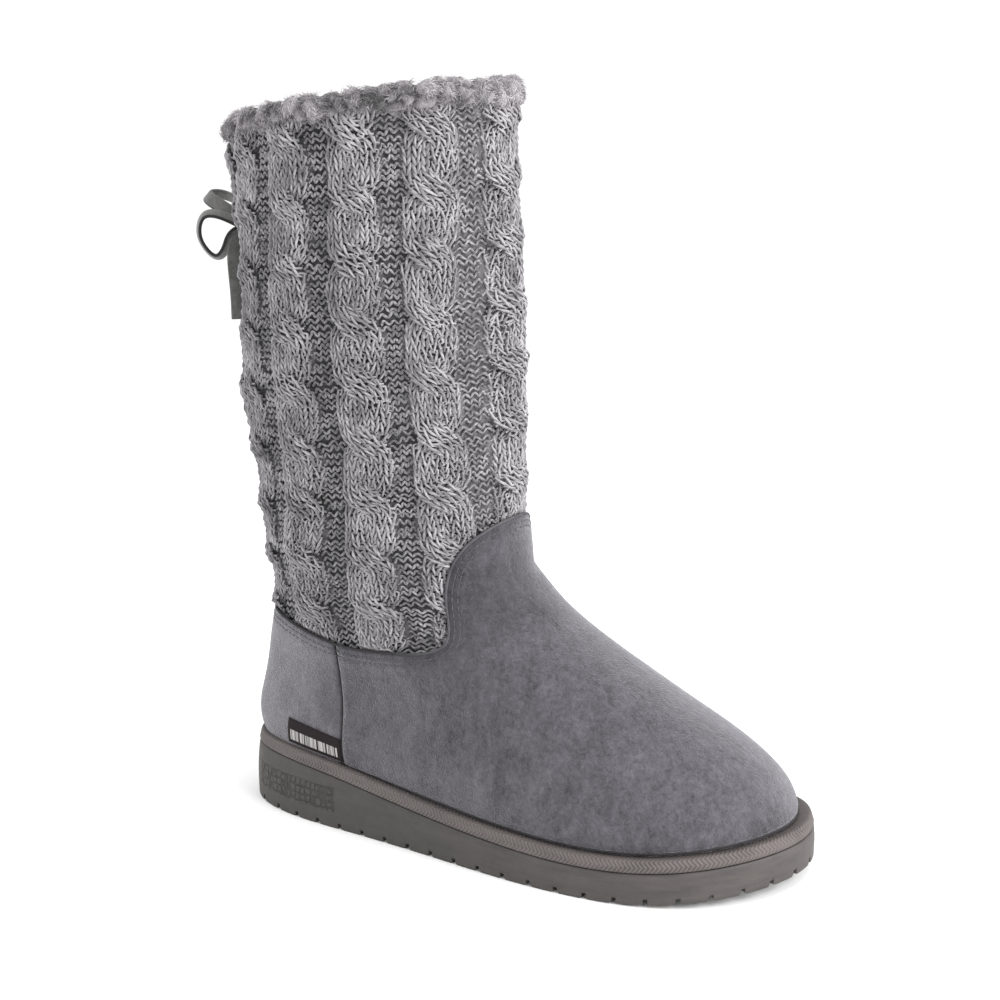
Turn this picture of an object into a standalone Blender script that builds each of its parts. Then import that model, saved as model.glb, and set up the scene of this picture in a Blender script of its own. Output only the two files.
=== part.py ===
# Knit-shaft winter boot for the right foot.
# A suede foot and a cable-knit leg, both lined with deep fleece, stand on a lugged unit sole.
# A flat lace is tied in a bow at the back of the leg.
# Along the shoe, +X points to the toe; -Y is the outer side; +Z is up; the lugs stand on Z = 0.

import math

import bmesh
import bpy
import numpy as np
from mathutils import Vector

MM = 0.001

# Driving dimensions, in millimetres
GAP = 0.3                 # clearance between touching pieces
SEAM_GAP = 0.4            # between suede and knit at their seam
WALL = 5.5                # suede or knit together with its fleece
LEDGE = 4.4               # how far the sole stands out past the upper
BAND_HEIGHT = 5.5         # strip that runs round the top of the sole
BAND_EDGE = 0.9           # its rounded corners
INSOLE_THICKNESS = 6.0
INSOLE_MARGIN = 2.5       # between the insole's edge and the wall round it
TOE_SPRING = 5.8          # lift of the tread at the toe tip
SPRING_START = 190.0      # where the tread leaves the ground
LUG_DEPTH = 2.4
LUG_ROUND = 0.7           # rounding of a lug's lower corners
LUG_LENGTH = 0.835        # share of each tread pitch that is lug
LUG_WIDTH = 8.0           # how far an edge lug reaches in
TREAD_CHANNEL = 3.0       # between edge lugs and the middle bars
LUGS_PER_SIDE = 24
FIRST_BAR, LAST_BAR = 3, 20   # tread pitches, from the toe, that have a middle bar
COLLAR_HEIGHT = 12.0
COLLAR_OVERHANG = 2.0     # fleece roll past the knit, outside and inside
COLUMNS = 64              # divisions round the upper
UPPER_ROWS = 9
SHAFT_ROWS = 8
LACE_WIDTH = 5.0
LACE_THICKNESS = 1.6
TIE_HEIGHT = 262.0        # where the lace is tied at the back of the leg

# Outline of the sole seen from above
# columns: place, along, across
SOLE_OUTLINE = [
    ("toe tip", 271.0, 8.0),
    ("toe, outer", 261.0, -20.0),
    ("little toe", 236.0, -41.0),
    ("ball, outer", 200.0, -49.5),
    ("behind the ball, outer", 160.0, -49.5),
    ("waist, outer", 115.0, -45.0),
    ("heel front, outer", 70.0, -41.0),
    ("heel, outer", 30.0, -35.0),
    ("heel corner, outer", 7.0, -22.0),
    ("heel back", -0.5, -2.0),
    ("heel corner, inner", 7.0, 19.0),
    ("heel, inner", 28.0, 32.0),
    ("heel front, inner", 65.0, 33.0),
    ("waist, inner", 105.0, 33.0),
    ("behind the ball, inner", 151.0, 41.0),
    ("ball, inner", 196.0, 51.0),
    ("big toe", 236.0, 50.0),
    ("toe, inner", 261.0, 35.0),
]
HEEL_ROW = 9              # the row of the heel's back

# Height of the sole's upper face along the shoe
# columns: along, height
SOLE_TOP = [
    (0.0, 30.0),
    (60.0, 27.6),
    (110.0, 23.6),
    (160.0, 20.2),
    (210.0, 19.2),
    (272.0, 24.6),
]

# Sections of the last and leg, from the sole up, each a tilted loop
# columns: place, back x, back z, front x, front z, half width, roundness (0 sole-shaped, 1 oval),
#          shift to the inner side, how much of the sole's own curve it keeps
SECTIONS = [
    ("feather edge", 2.0, 30.0, 265.0, 24.4, 45.5, 0.00, 0.0, 1.00),
    ("above the feather", 0.0, 40.0, 262.0, 33.0, 46.0, 0.00, 0.0, 0.85),
    ("toe box", 2.0, 54.0, 250.5, 47.0, 43.0, 0.12, 0.0, 0.60),
    ("toe crown", 5.0, 68.0, 231.5, 60.0, 40.0, 0.28, -0.5, 0.35),
    ("ball", 8.5, 82.0, 208.0, 73.0, 38.5, 0.48, -1.0, 0.15),
    ("vamp", 11.0, 96.0, 183.5, 86.0, 38.5, 0.68, -1.0, 0.05),
    ("instep", 11.2, 110.0, 161.0, 100.0, 40.0, 0.84, -1.0, 0.0),
    ("ankle", 10.7, 125.0, 146.0, 116.0, 43.0, 0.95, -1.0, 0.0),
    ("above the ankle", 9.7, 144.0, 141.5, 138.0, 47.0, 1.00, -0.5, 0.0),
    ("low leg", 8.2, 170.0, 141.0, 168.0, 51.0, 1.00, 0.0, 0.0),
    ("mid leg", 6.0, 200.0, 142.3, 205.0, 53.5, 1.00, 0.0, 0.0),
    ("calf", 5.2, 235.0, 142.4, 245.0, 54.8, 1.00, 0.0, 0.0),
    ("upper calf", 6.6, 270.0, 141.0, 284.0, 55.0, 1.00, 0.0, 0.0),
    ("topline", 9.3, 301.0, 141.5, 317.0, 55.0, 1.00, 0.0, 0.0),
]
OUTLINE_HALF_WIDTH = 46.0     # half width at which a sole-shaped section has the sole's own width
TOPLINE_CROWN = 3.0           # rise of the topline at the two sides of the leg

# Seam between the suede foot and the knit leg: the same on both sides
# columns: turn from the front centre, height
SEAM = [
    (0.000, 142.0),
    (0.035, 141.0),
    (0.070, 137.0),
    (0.100, 129.5),
    (0.130, 114.0),
    (0.155, 101.0),
    (0.190, 91.5),
    (0.250, 86.0),
    (0.330, 83.5),
    (0.400, 87.5),
    (0.500, 90.0),
]

# Cross-section of the fleece roll on the topline
# columns: outward from the knit's face, up from the topline (shares of overhang and height apply)
COLLAR_PROFILE = [
    ("under, outer", 1.00, 0.00),
    ("outer face, low", 1.25, 0.30),
    ("outer face, high", 0.90, 0.75),
    ("crest, outer", -0.60, 1.00),
    ("crest, inner", -2.40, 1.00),
    ("inner face", -3.90, 0.65),
    ("under, inner", -3.70, 0.00),
]

# Routes of the lace's pieces, from the knot at the back of the leg
# columns: behind the knot's middle, towards the inner side, above the knot's middle
LOOP_OUTER = [(2.8, -3.3, 2.1), (8.5, -7.5, 5.4), (14.5, -10.5, 5.2), (17.0, -12.0, -1.0),
              (15.0, -10.8, -9.5), (10.2, -8.2, -13.6), (6.8, -6.4, -10.0), (4.2, -4.7, -3.8)]
LOOP_INNER = [(3.0, 3.5, 2.0), (9.0, 8.5, 7.0), (17.0, 12.0, 10.5), (23.5, 10.0, 12.5),
              (25.0, 4.5, 12.5), (20.0, 2.0, 10.0), (12.0, 2.5, 6.0), (6.0, 3.0, 1.5)]
TAIL_OUTER = [(1.0, -3.0, -4.2), (1.0, -6.2, -8.0), (0.0, -9.0, -16.0), (-0.8, -9.5, -28.0),
              (-0.8, -9.8, -41.0)]
TAIL_INNER = [(1.0, 2.4, -4.6), (1.4, 1.6, -11.0), (0.8, -0.8, -20.0), (0.2, -1.6, -34.0),
              (0.0, -2.0, -48.0)]
KNOT_SIZE = (8.0, 9.0, 8.5)
BAR_HALF_SPAN = 11.0          # lace between the two places where it leaves the knit


def clear_scene():
    for item in list(bpy.data.objects):
        bpy.data.objects.remove(item, do_unlink=True)


def material(name, colour, roughness):
    made = bpy.data.materials.new(name)
    made.use_nodes = True
    shader = made.node_tree.nodes["Principled BSDF"]
    shader.inputs["Base Color"].default_value = (*colour, 1.0)
    shader.inputs["Roughness"].default_value = roughness
    shader.inputs["Metallic"].default_value = 0.0
    return made


def spline(stations, values):
    """Natural cubic spline through values at stations, as a function of an array of stations."""
    x = np.asarray(stations, float)
    y = np.asarray(values, float).reshape(len(x), -1)
    step = np.diff(x)
    count = len(x)
    matrix = np.eye(count)
    right = np.zeros_like(y)
    for i in range(1, count - 1):
        matrix[i, i - 1:i + 2] = (step[i - 1], 2 * (step[i - 1] + step[i]), step[i])
        right[i] = 6 * ((y[i + 1] - y[i]) / step[i] - (y[i] - y[i - 1]) / step[i - 1])
    bend = np.linalg.solve(matrix, right)

    def value(at):
        at = np.atleast_1d(np.asarray(at, float))
        i = np.clip(np.searchsorted(x, at) - 1, 0, count - 2)
        h = step[i][:, None]
        a = (x[i + 1] - at)[:, None] / h
        b = 1 - a
        curve = (a ** 3 - a) * bend[i] + (b ** 3 - b) * bend[i + 1]
        return a * y[i] + b * y[i + 1] + curve * h ** 2 / 6

    return value


def lengths(points):
    return np.concatenate([[0.0], np.cumsum(np.linalg.norm(np.diff(points, axis=0), axis=1))])


def outline_curve():
    """The closed outline, as a function of turn: 0 toe tip, 0.25 outer side, 0.5 heel, 0.75 inner side."""
    rows = np.array([row[1:] for row in SOLE_OUTLINE])
    count = len(rows)
    loop = np.vstack([rows, rows, rows, rows[:1]])
    chord = lengths(loop)
    curve = spline(chord, loop)
    start, end, heel = chord[count], chord[2 * count], chord[count + HEEL_ROW]
    fine = np.linspace(start, end, 4001)
    run = lengths(curve(fine))
    heel_run = np.interp(heel, fine, run)

    def at(turns):
        turns = np.asarray(turns, float) % 1.0
        outer = turns / 0.5 * heel_run
        inner = heel_run + (turns - 0.5) / 0.5 * (run[-1] - heel_run)
        place = np.interp(np.where(turns <= 0.5, outer, inner), run, fine)
        tangent = curve(place + 0.05) - curve(place - 0.05)
        outward = np.stack([tangent[:, 1], -tangent[:, 0]], axis=1)
        outward /= np.linalg.norm(outward, axis=1)[:, None]
        return curve(place), -outward

    return at


OUTLINE = outline_curve()
SOLE_TOP_AT = spline(*zip(*SOLE_TOP))
ENDS = OUTLINE(np.linspace(0, 1, 2001))[0][:, 0]
MIDDLE_X = (ENDS.min() + ENDS.max()) / 2      # mid-length goes to the origin


def sole_top(along):
    return SOLE_TOP_AT(along)[:, 0]


def tread_height(along):
    beyond = np.clip((along - SPRING_START) / (SOLE_OUTLINE[0][1] - SPRING_START), 0, None)
    return TOE_SPRING * beyond ** 2


def inset_outline(turns, inset):
    place, outward = OUTLINE(turns)
    return place - outward * inset


def section_loops(turns):
    """Points of every section at the given turns: an array of sections by turns by 3."""
    feather = inset_outline(turns, LEDGE)
    low, high = feather[:, 0].min(), feather[:, 0].max()
    middle, half = (low + high) / 2, (high - low) / 2
    sole_along = (feather[:, 0] - middle) / half
    sole_across = feather[:, 1] / OUTLINE_HALF_WIDTH
    angle = 2 * math.pi * np.asarray(turns)
    ends = sole_top(np.array([low, high]))
    straight = ends[0] + (ends[1] - ends[0]) * (sole_along + 1) / 2
    own_curve = sole_top(feather[:, 0]) - straight
    loops = []
    for _, back_x, back_z, front_x, front_z, half_width, round_share, shift, keep in SECTIONS:
        along = sole_along * (1 - round_share) + np.cos(angle) * round_share
        across = sole_across * (1 - round_share) - np.sin(angle) * round_share
        x = (back_x + front_x) / 2 + (front_x - back_x) / 2 * along
        y = shift + half_width * across
        z = back_z + (front_z - back_z) * (along + 1) / 2 + keep * own_curve
        loops.append(np.stack([x, y, z], axis=1))
    loops = np.array(loops)
    loops[-1, :, 2] += TOPLINE_CROWN * np.sin(angle) ** 2
    return loops


class LegSurface:
    """The outer face of foot and leg: a turn round the leg and a level from sole to topline."""

    def __init__(self, columns):
        self.turns = np.arange(columns) / columns
        loops = section_loops(self.turns)
        spacing = np.linalg.norm(np.diff(loops, axis=0), axis=2).mean(axis=1)
        self.stations = np.concatenate([[0.0], np.cumsum(spacing)])
        self.top = self.stations[-1]
        self.curve = spline(self.stations, loops.reshape(len(loops), -1))
        self.columns = columns

    def row(self, station):
        """Points at one station in every column; station may be a number or one per column."""
        station = np.broadcast_to(np.asarray(station, float), (self.columns,))
        every = self.curve(station).reshape(self.columns, self.columns, 3)
        return every[np.arange(self.columns), np.arange(self.columns)]

    def normal(self, station):
        station = np.broadcast_to(np.asarray(station, float), (self.columns,))
        up = self.row(np.minimum(station + 0.5, self.top)) - self.row(np.maximum(station - 0.5, 0))
        points = self.row(station)
        round_leg = np.roll(points, -1, axis=0) - np.roll(points, 1, axis=0)
        outward = np.cross(up, round_leg)
        outward /= np.linalg.norm(outward, axis=1)[:, None]
        return outward

    def inner_row(self, station):
        """The inside of the wall; the rim on the sole stays level."""
        station = np.broadcast_to(np.asarray(station, float), (self.columns,))
        outward = self.normal(station)
        level = np.clip(station / self.stations[1], 0, 1)
        outward[:, 2] *= level
        outward /= np.linalg.norm(outward, axis=1)[:, None]
        return self.row(station) - outward * WALL

    def slant(self, station):
        """How much longer than a level line the line at these stations is, column by column."""
        points = self.row(station)
        run = np.linalg.norm(np.roll(points, -1, axis=0) - np.roll(points, 1, axis=0), axis=1)
        rise = np.roll(station, -1) - np.roll(station, 1)
        return run / np.sqrt(np.maximum(run ** 2 - rise ** 2, (0.3 * run) ** 2))

    def seam_station(self):
        """The station of the suede and knit seam in every column."""
        rows = SEAM + [(1 - turn, height) for turn, height in reversed(SEAM[:-1])]
        rows = [(turn - 1, height) for turn, height in rows[-4:-1]] + rows
        rows = rows + [(turn + 1, height) for turn, height in SEAM[1:4]]
        height = spline(*zip(*rows))(self.turns)[:, 0]
        fine = np.linspace(0, self.top, 400)
        levels = np.array([self.row(station)[:, 2] for station in fine])
        return np.array([np.interp(height[i], levels[:, i], fine) for i in range(self.columns)])


def add_object(name, mesh_data, finish):
    mesh = bpy.data.meshes.new(name)
    mesh_data.to_mesh(mesh)
    mesh_data.free()
    mesh.shade_smooth()
    mesh.set_sharp_from_angle(angle=math.radians(35))
    made = bpy.data.objects.new(name, mesh)
    made.data.materials.append(finish)
    bpy.context.scene.collection.objects.link(made)
    return made


def add_ring(data, points):
    """Vertices of one ring; points are in millimetres in the shoe's own frame."""
    return [data.verts.new(((x - MIDDLE_X) * MM, y * MM, z * MM)) for x, y, z in points]


def bridge(data, first, second):
    count = len(first)
    for i in range(count):
        j = (i + 1) % count
        data.faces.new((first[i], first[j], second[j], second[i]))


def sleeve(name, rings, finish):
    """A tube with a real wall: rings run up its outside and down its inside, and close on the first."""
    data = bmesh.new()
    made = [add_ring(data, ring) for ring in rings]
    for first, second in zip(made, made[1:] + made[:1]):
        bridge(data, first, second)
    bmesh.ops.recalc_face_normals(data, faces=data.faces)
    return add_object(name, data, finish)


def with_height(flat, height):
    return np.column_stack([flat, height])


def build_upper(leg, finish):
    seam = leg.seam_station()
    stations = [seam * (i / UPPER_ROWS) for i in range(UPPER_ROWS + 1)]
    outer = [leg.row(station) for station in stations]
    inner = [leg.inner_row(station) for station in reversed(stations)]
    for ring in (outer[0], inner[-1]):
        ring[:, 2] = sole_top(ring[:, 0]) + GAP
    return sleeve("upper", outer + inner, finish)


def build_shaft(leg, finish):
    seam = leg.seam_station()
    seam = seam + SEAM_GAP * leg.slant(seam)
    stations = [seam + (leg.top - seam) * (i / SHAFT_ROWS) for i in range(SHAFT_ROWS + 1)]
    outer = [leg.row(station) for station in stations]
    inner = [leg.inner_row(station) for station in reversed(stations)]
    return sleeve("shaft", outer + inner, finish)


def build_collar(leg, finish):
    """The fleece of the lining, rolled over the topline."""
    edge = leg.row(leg.top)
    outward = leg.normal(leg.top)
    up = edge - leg.row(leg.top - 1)
    up /= np.linalg.norm(up, axis=1)[:, None]
    rings = []
    for _, out_share, up_share in COLLAR_PROFILE:
        rings.append(edge + outward * out_share * COLLAR_OVERHANG
                     + up * (GAP + up_share * COLLAR_HEIGHT))
    return sleeve("collar_fleece", rings, finish)


def build_band(finish):
    """The strip round the top of the sole, which the upper stands on."""
    turns = np.arange(COLUMNS) / COLUMNS
    rings = []
    for inset, down in [(LEDGE + WALL, BAND_HEIGHT - GAP), (BAND_EDGE / 2, BAND_HEIGHT - GAP),
                        (0, BAND_HEIGHT - BAND_EDGE), (0, BAND_EDGE), (BAND_EDGE, 0),
                        (LEDGE + WALL, 0)]:
        flat = inset_outline(turns, inset)
        rings.append(with_height(flat, sole_top(flat[:, 0]) - down))
    return sleeve("foxing_band", rings, finish)


def close_across(data, ring, tips=True):
    """Closes a ring with strips across the shoe, from toe to heel; returns the strips in order.

    tips says whether the ring has a vertex at the very toe and heel, or an edge."""
    count = len(ring)
    opposite = 0 if tips else -1
    last = count // 2 + 1 if tips else count // 2
    pairs = [(ring[i], ring[(opposite - i) % count]) for i in range(last)]
    strips = []
    for (outer, inner), (next_outer, next_inner) in zip(pairs, pairs[1:]):
        corners = list(dict.fromkeys([outer, next_outer, next_inner, inner]))
        strips.append(data.faces.new(corners))
    return strips


def build_insole(finish):
    turns = np.arange(COLUMNS) / COLUMNS
    flat = inset_outline(turns, LEDGE + WALL + INSOLE_MARGIN)
    floor = sole_top(flat[:, 0]) - BAND_HEIGHT + GAP
    data = bmesh.new()
    low = add_ring(data, with_height(flat, floor))
    high = add_ring(data, with_height(flat, floor + INSOLE_THICKNESS))
    bridge(data, low, high)
    close_across(data, low)
    close_across(data, high)
    bmesh.ops.recalc_face_normals(data, faces=data.faces)
    return add_object("insole", data, finish)


def lower_faces(data, faces, depth, shrink):
    """Extrudes each face down on its own, drawing its corners in by shrink."""
    made = bmesh.ops.extrude_discrete_faces(data, faces=faces)["faces"]
    for face in made:
        middle = face.calc_center_median()
        for vert in face.verts:
            inward = Vector((middle.x - vert.co.x, middle.y - vert.co.y, 0))
            if shrink:
                vert.co += inward.normalized() * shrink * MM * math.sqrt(2)
            vert.co.z -= depth * MM
    return made


def build_outsole(finish):
    """Unit sole: side wall, toe spring and lugs; the tread's notches run through to the side wall."""
    lug_ends = [i + end for i in range(LUGS_PER_SIDE) for end in (LUG_LENGTH / 2, 1 - LUG_LENGTH / 2)]
    outer = np.array(lug_ends) / LUGS_PER_SIDE * 0.5
    turns = np.concatenate([outer, 1 - outer[::-1]])
    data = bmesh.new()
    rings = []
    for inset, share in [(LUG_WIDTH + TREAD_CHANNEL, 0.0), (LUG_WIDTH, 0.0), (0.0, 0.0),
                         (0.0, 0.5), (0.0, 1.0)]:
        flat = inset_outline(turns, inset)
        base = tread_height(flat[:, 0]) + LUG_DEPTH
        top = sole_top(flat[:, 0]) - BAND_HEIGHT
        rings.append(add_ring(data, with_height(flat, base + (top - base) * share)))
    close_across(data, rings[4], tips=False)
    bridge(data, rings[3], rings[4])
    bridge(data, rings[2], rings[3])
    bridge(data, rings[0], rings[1])
    bars = close_across(data, rings[0], tips=False)
    bridge(data, rings[1], rings[2])
    data.faces.ensure_lookup_table()
    edge = data.faces[-len(turns):]
    bmesh.ops.recalc_face_normals(data, faces=data.faces)
    # notch, lug, notch, lug: every second column is a lug
    lugs = edge[1::2] + bars[2 * FIRST_BAR - 1:2 * LAST_BAR:2]
    lugs = lower_faces(data, lugs, LUG_DEPTH - LUG_ROUND, 0)
    lower_faces(data, lugs, LUG_ROUND, LUG_ROUND)
    return add_object("outsole", data, finish)


def tie_place(leg_point):
    """Middle of the knot: behind the back centre of the leg, at the tie's height."""
    return leg_point + np.array([-(KNOT_SIZE[0] / 2 + LACE_THICKNESS + 2 * GAP), 0, 0])


def ribbon(name, points, finish, twist=0.0):
    """A flat lace along a smooth curve through points, with round edges and closed ends."""
    points = np.array(points, float)
    run = lengths(points)
    curve = spline(run, points)
    count = max(6, int(run[-1] / (LACE_WIDTH * 0.7)))
    smooth = curve(np.linspace(0, run[-1], count))
    data = bpy.data.curves.new(name, "CURVE")
    data.dimensions = "3D"
    data.twist_mode = "MINIMUM"
    data.bevel_depth = LACE_THICKNESS / 2 * MM
    data.extrude = (LACE_WIDTH - LACE_THICKNESS) / 2 * MM
    data.bevel_resolution = 1
    data.fill_mode = "FULL"
    data.use_fill_caps = True
    line = data.splines.new("POLY")
    line.points.add(count - 1)
    for point, (x, y, z) in zip(line.points, smooth):
        point.co = ((x - MIDDLE_X) * MM, y * MM, z * MM, 1.0)
        point.tilt = twist
    made = bpy.data.objects.new(name, data)
    data.materials.append(finish)
    bpy.context.scene.collection.objects.link(made)
    return made


def build_tie(leg, finish):
    back_column = COLUMNS // 2
    heights = np.array([leg.row(s)[back_column, 2] for s in np.linspace(0, leg.top, 400)])
    station = np.interp(TIE_HEIGHT, heights, np.linspace(0, leg.top, 400))
    row = leg.row(station)
    outward = leg.normal(station)
    middle = tie_place(row[back_column])
    # the stretch of lace between the two places where it leaves the knit
    near = np.abs(row[:, 1]) <= BAR_HALF_SPAN
    back = near & (row[:, 0] < MIDDLE_X / 2)
    lift = LACE_THICKNESS / 2 + GAP
    across = (row + outward * lift)[back]
    across = across[np.argsort(across[:, 1])]
    ribbon("tie_bar", across, finish)
    knot = bmesh.new()
    bmesh.ops.create_icosphere(knot, subdivisions=2, radius=0.5)
    for vert in knot.verts:
        vert.co = Vector([c * s * MM for c, s in zip(vert.co, KNOT_SIZE)])
        vert.co += Vector(((middle[0] - MIDDLE_X) * MM, middle[1] * MM, middle[2] * MM))
    add_object("tie_knot", knot, finish)
    for name, route, twist in [("tie_loop_outer", LOOP_OUTER, math.pi / 2),
                               ("tie_loop_inner", LOOP_INNER, 0.0),
                               ("tie_tail_outer", TAIL_OUTER, 0.0),
                               ("tie_tail_inner", TAIL_INNER, 0.0)]:
        points = [middle + np.array([-behind, inner, above]) for behind, inner, above in route]
        ribbon(name, points, finish, twist)


def build():
    clear_scene()
    suede = material("suede", (0.17, 0.165, 0.19), 0.95)
    knit = material("knit", (0.24, 0.23, 0.24), 0.9)
    fleece = material("fleece", (0.32, 0.30, 0.32), 0.95)
    sole = material("sole_rubber", (0.115, 0.108, 0.10), 0.6)
    band = material("band_rubber", (0.19, 0.165, 0.155), 0.65)
    lace = material("lace", (0.12, 0.12, 0.115), 0.8)
    leg = LegSurface(COLUMNS)
    build_outsole(sole)
    build_band(band)
    build_insole(fleece)
    build_upper(leg, suede)
    build_shaft(leg, knit)
    build_collar(leg, fleece)
    build_tie(leg, lace)


build()
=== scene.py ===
import math

import bmesh
import bpy
import numpy as np
from mathutils import Euler, Matrix, Vector, noise


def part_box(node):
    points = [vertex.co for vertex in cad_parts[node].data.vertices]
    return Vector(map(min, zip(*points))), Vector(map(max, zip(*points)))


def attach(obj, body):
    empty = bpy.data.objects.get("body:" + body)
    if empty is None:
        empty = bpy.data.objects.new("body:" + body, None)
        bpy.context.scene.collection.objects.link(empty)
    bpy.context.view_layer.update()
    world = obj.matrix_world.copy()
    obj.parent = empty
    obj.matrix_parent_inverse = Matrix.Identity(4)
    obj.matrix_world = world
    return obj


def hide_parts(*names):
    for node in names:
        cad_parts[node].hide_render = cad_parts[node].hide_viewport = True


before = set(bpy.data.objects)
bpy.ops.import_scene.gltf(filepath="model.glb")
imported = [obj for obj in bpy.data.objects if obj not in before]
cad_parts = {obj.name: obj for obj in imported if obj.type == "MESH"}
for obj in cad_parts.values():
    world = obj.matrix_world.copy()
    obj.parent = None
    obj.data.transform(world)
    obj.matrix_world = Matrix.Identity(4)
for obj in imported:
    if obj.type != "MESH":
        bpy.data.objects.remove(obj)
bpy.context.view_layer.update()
print("frame loaded:", len(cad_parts), "nodes")

# Shape of the boot, the same as the solids have. Millimetres from the back of the heel,
# +X to the toe, -Y to the outer side, +Z up.
boot = {
    "ledge": 4.4,            # how far the sole stands out past the suede
    "bandHeight": 5.5,       # of the strip round the top of the sole
    "toeSpring": 5.8,        # rise of the tread at the toe tip
    "springStart": 190.0,
    "lugDepth": 2.4,
    "outlineHalfWidth": 46.0,
    "toplineCrown": 3.0,     # the topline stands this much higher at the sides
    "foldFade": 1.6,         # how quickly a fold dies away
    "heelRow": 9,            # row of the outline at the back of the heel
    # along, across; from the toe tip round the outer side and the heel to the inner side
    "soleOutline": [
        (271.0, 8.0), (261.0, -20.0), (236.0, -41.0), (200.0, -49.5), (160.0, -49.5),
        (115.0, -45.0), (70.0, -41.0), (30.0, -35.0), (7.0, -22.0), (-0.5, -2.0),
        (7.0, 19.0), (28.0, 32.0), (65.0, 33.0), (105.0, 33.0), (151.0, 41.0),
        (196.0, 51.0), (236.0, 50.0), (261.0, 35.0),
    ],
    # along, height of the sole's upper face
    "soleTop": [
        (0.0, 30.0), (60.0, 27.6), (110.0, 23.6), (160.0, 20.2), (210.0, 19.2), (272.0, 24.6),
    ],
    # back x, back z, front x, front z, half width, roundness, shift inwards, sole curve kept
    "sections": [
        (2.0, 30.0, 265.0, 24.4, 45.5, 0.00, 0.0, 1.00),     # feather edge
        (0.0, 40.0, 262.0, 33.0, 46.0, 0.00, 0.0, 0.85),
        (2.0, 54.0, 250.5, 47.0, 43.0, 0.12, 0.0, 0.60),     # toe box
        (5.0, 68.0, 231.5, 60.0, 40.0, 0.28, -0.5, 0.35),
        (8.5, 82.0, 208.0, 73.0, 38.5, 0.48, -1.0, 0.15),    # ball
        (11.0, 96.0, 183.5, 86.0, 38.5, 0.68, -1.0, 0.05),   # vamp
        (11.2, 110.0, 161.0, 100.0, 40.0, 0.84, -1.0, 0.0),  # instep
        (10.7, 125.0, 146.0, 116.0, 43.0, 0.95, -1.0, 0.0),  # ankle
        (9.7, 144.0, 141.5, 138.0, 47.0, 1.00, -0.5, 0.0),
        (8.2, 170.0, 141.0, 168.0, 51.0, 1.00, 0.0, 0.0),
        (6.0, 200.0, 142.3, 205.0, 53.5, 1.00, 0.0, 0.0),
        (5.2, 235.0, 142.4, 245.0, 54.8, 1.00, 0.0, 0.0),    # calf
        (6.6, 270.0, 141.0, 284.0, 55.0, 1.00, 0.0, 0.0),
        (9.3, 301.0, 141.5, 317.0, 55.0, 1.00, 0.0, 0.0),    # topline
    ],
    # turn from the front centre, height of the seam between suede and knit
    "seam": [
        (0.000, 142.0), (0.035, 141.0), (0.070, 137.0), (0.100, 129.5), (0.130, 114.0),
        (0.155, 101.0), (0.190, 91.5), (0.250, 86.0), (0.330, 83.5), (0.400, 87.5), (0.500, 90.0),
    ],
    # creases and swellings worked in:
    # turn, height, half length round, half length up, lean, depth
    "folds": [
        (0.50, 262.0, 0.13, 24.0, 0.0, -2.2),      # pinched in by the lace
        (0.50, 262.0, 0.05, 9.0, 0.0, -1.6),
        (0.43, 245.0, 0.065, 33.0, 0.0, -5.4),
        (0.41, 250.0, 0.14, 60.0, 0.0, -0.8),
        (0.06, 121.0, 0.11, 7.0, 60.0, -1.5),      # troughs across the instep, where the foot bends
        (0.00, 108.0, 0.08, 8.0, 0.0, 1.2),
        (0.15, 74.0, 0.07, 9.0, 120.0, -1.1),
        (0.10, 92.0, 0.06, 7.0, -90.0, 0.8),
        (0.22, 60.0, 0.06, 10.0, 60.0, -0.9),
        (0.92, 118.0, 0.10, 7.0, -60.0, -1.4),
        (0.84, 76.0, 0.07, 9.0, -110.0, -1.1),
        (0.78, 58.0, 0.06, 9.0, -60.0, 0.7),
        (0.03, 66.0, 0.10, 10.0, 0.0, -0.6),       # toe box gives a little
        (0.42, 66.0, 0.08, 12.0, 0.0, -0.7),
        (0.58, 66.0, 0.08, 12.0, 0.0, -0.7),
        (0.27, 150.0, 0.12, 13.0, 40.0, -1.6),     # knit slumps at the ankle
        (0.73, 152.0, 0.12, 13.0, -40.0, -1.6),
        (0.40, 185.0, 0.08, 16.0, -60.0, 1.2),
        (0.10, 205.0, 0.08, 20.0, 50.0, -1.0),
    ],
}


def smoothCurve(stations, values):
    # natural cubic spline through values, as a function of an array of stations
    x = np.asarray(stations, float)
    y = np.asarray(values, float).reshape(len(x), -1)
    step = np.diff(x)
    count = len(x)
    matrix = np.eye(count)
    right = np.zeros_like(y)
    for i in range(1, count - 1):
        matrix[i, i - 1:i + 2] = (step[i - 1], 2 * (step[i - 1] + step[i]), step[i])
        right[i] = 6 * ((y[i + 1] - y[i]) / step[i] - (y[i] - y[i - 1]) / step[i - 1])
    bend = np.linalg.solve(matrix, right)

    def value(at):
        at = np.atleast_1d(np.asarray(at, float))
        i = np.clip(np.searchsorted(x, at) - 1, 0, count - 2)
        h = step[i][:, None]
        a = (x[i + 1] - at)[:, None] / h
        b = 1 - a
        bent = (a ** 3 - a) * bend[i] + (b ** 3 - b) * bend[i + 1]
        return a * y[i] + b * y[i + 1] + bent * h ** 2 / 6

    return value


def runLength(points):
    # distance along a line of points, at each of them
    return np.concatenate([[0.0], np.cumsum(np.linalg.norm(np.diff(points, axis=0), axis=1))])


def bell(away, half):
    # 1 in the middle, dying away on both sides
    return np.exp(-(away / half) ** 2)


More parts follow.
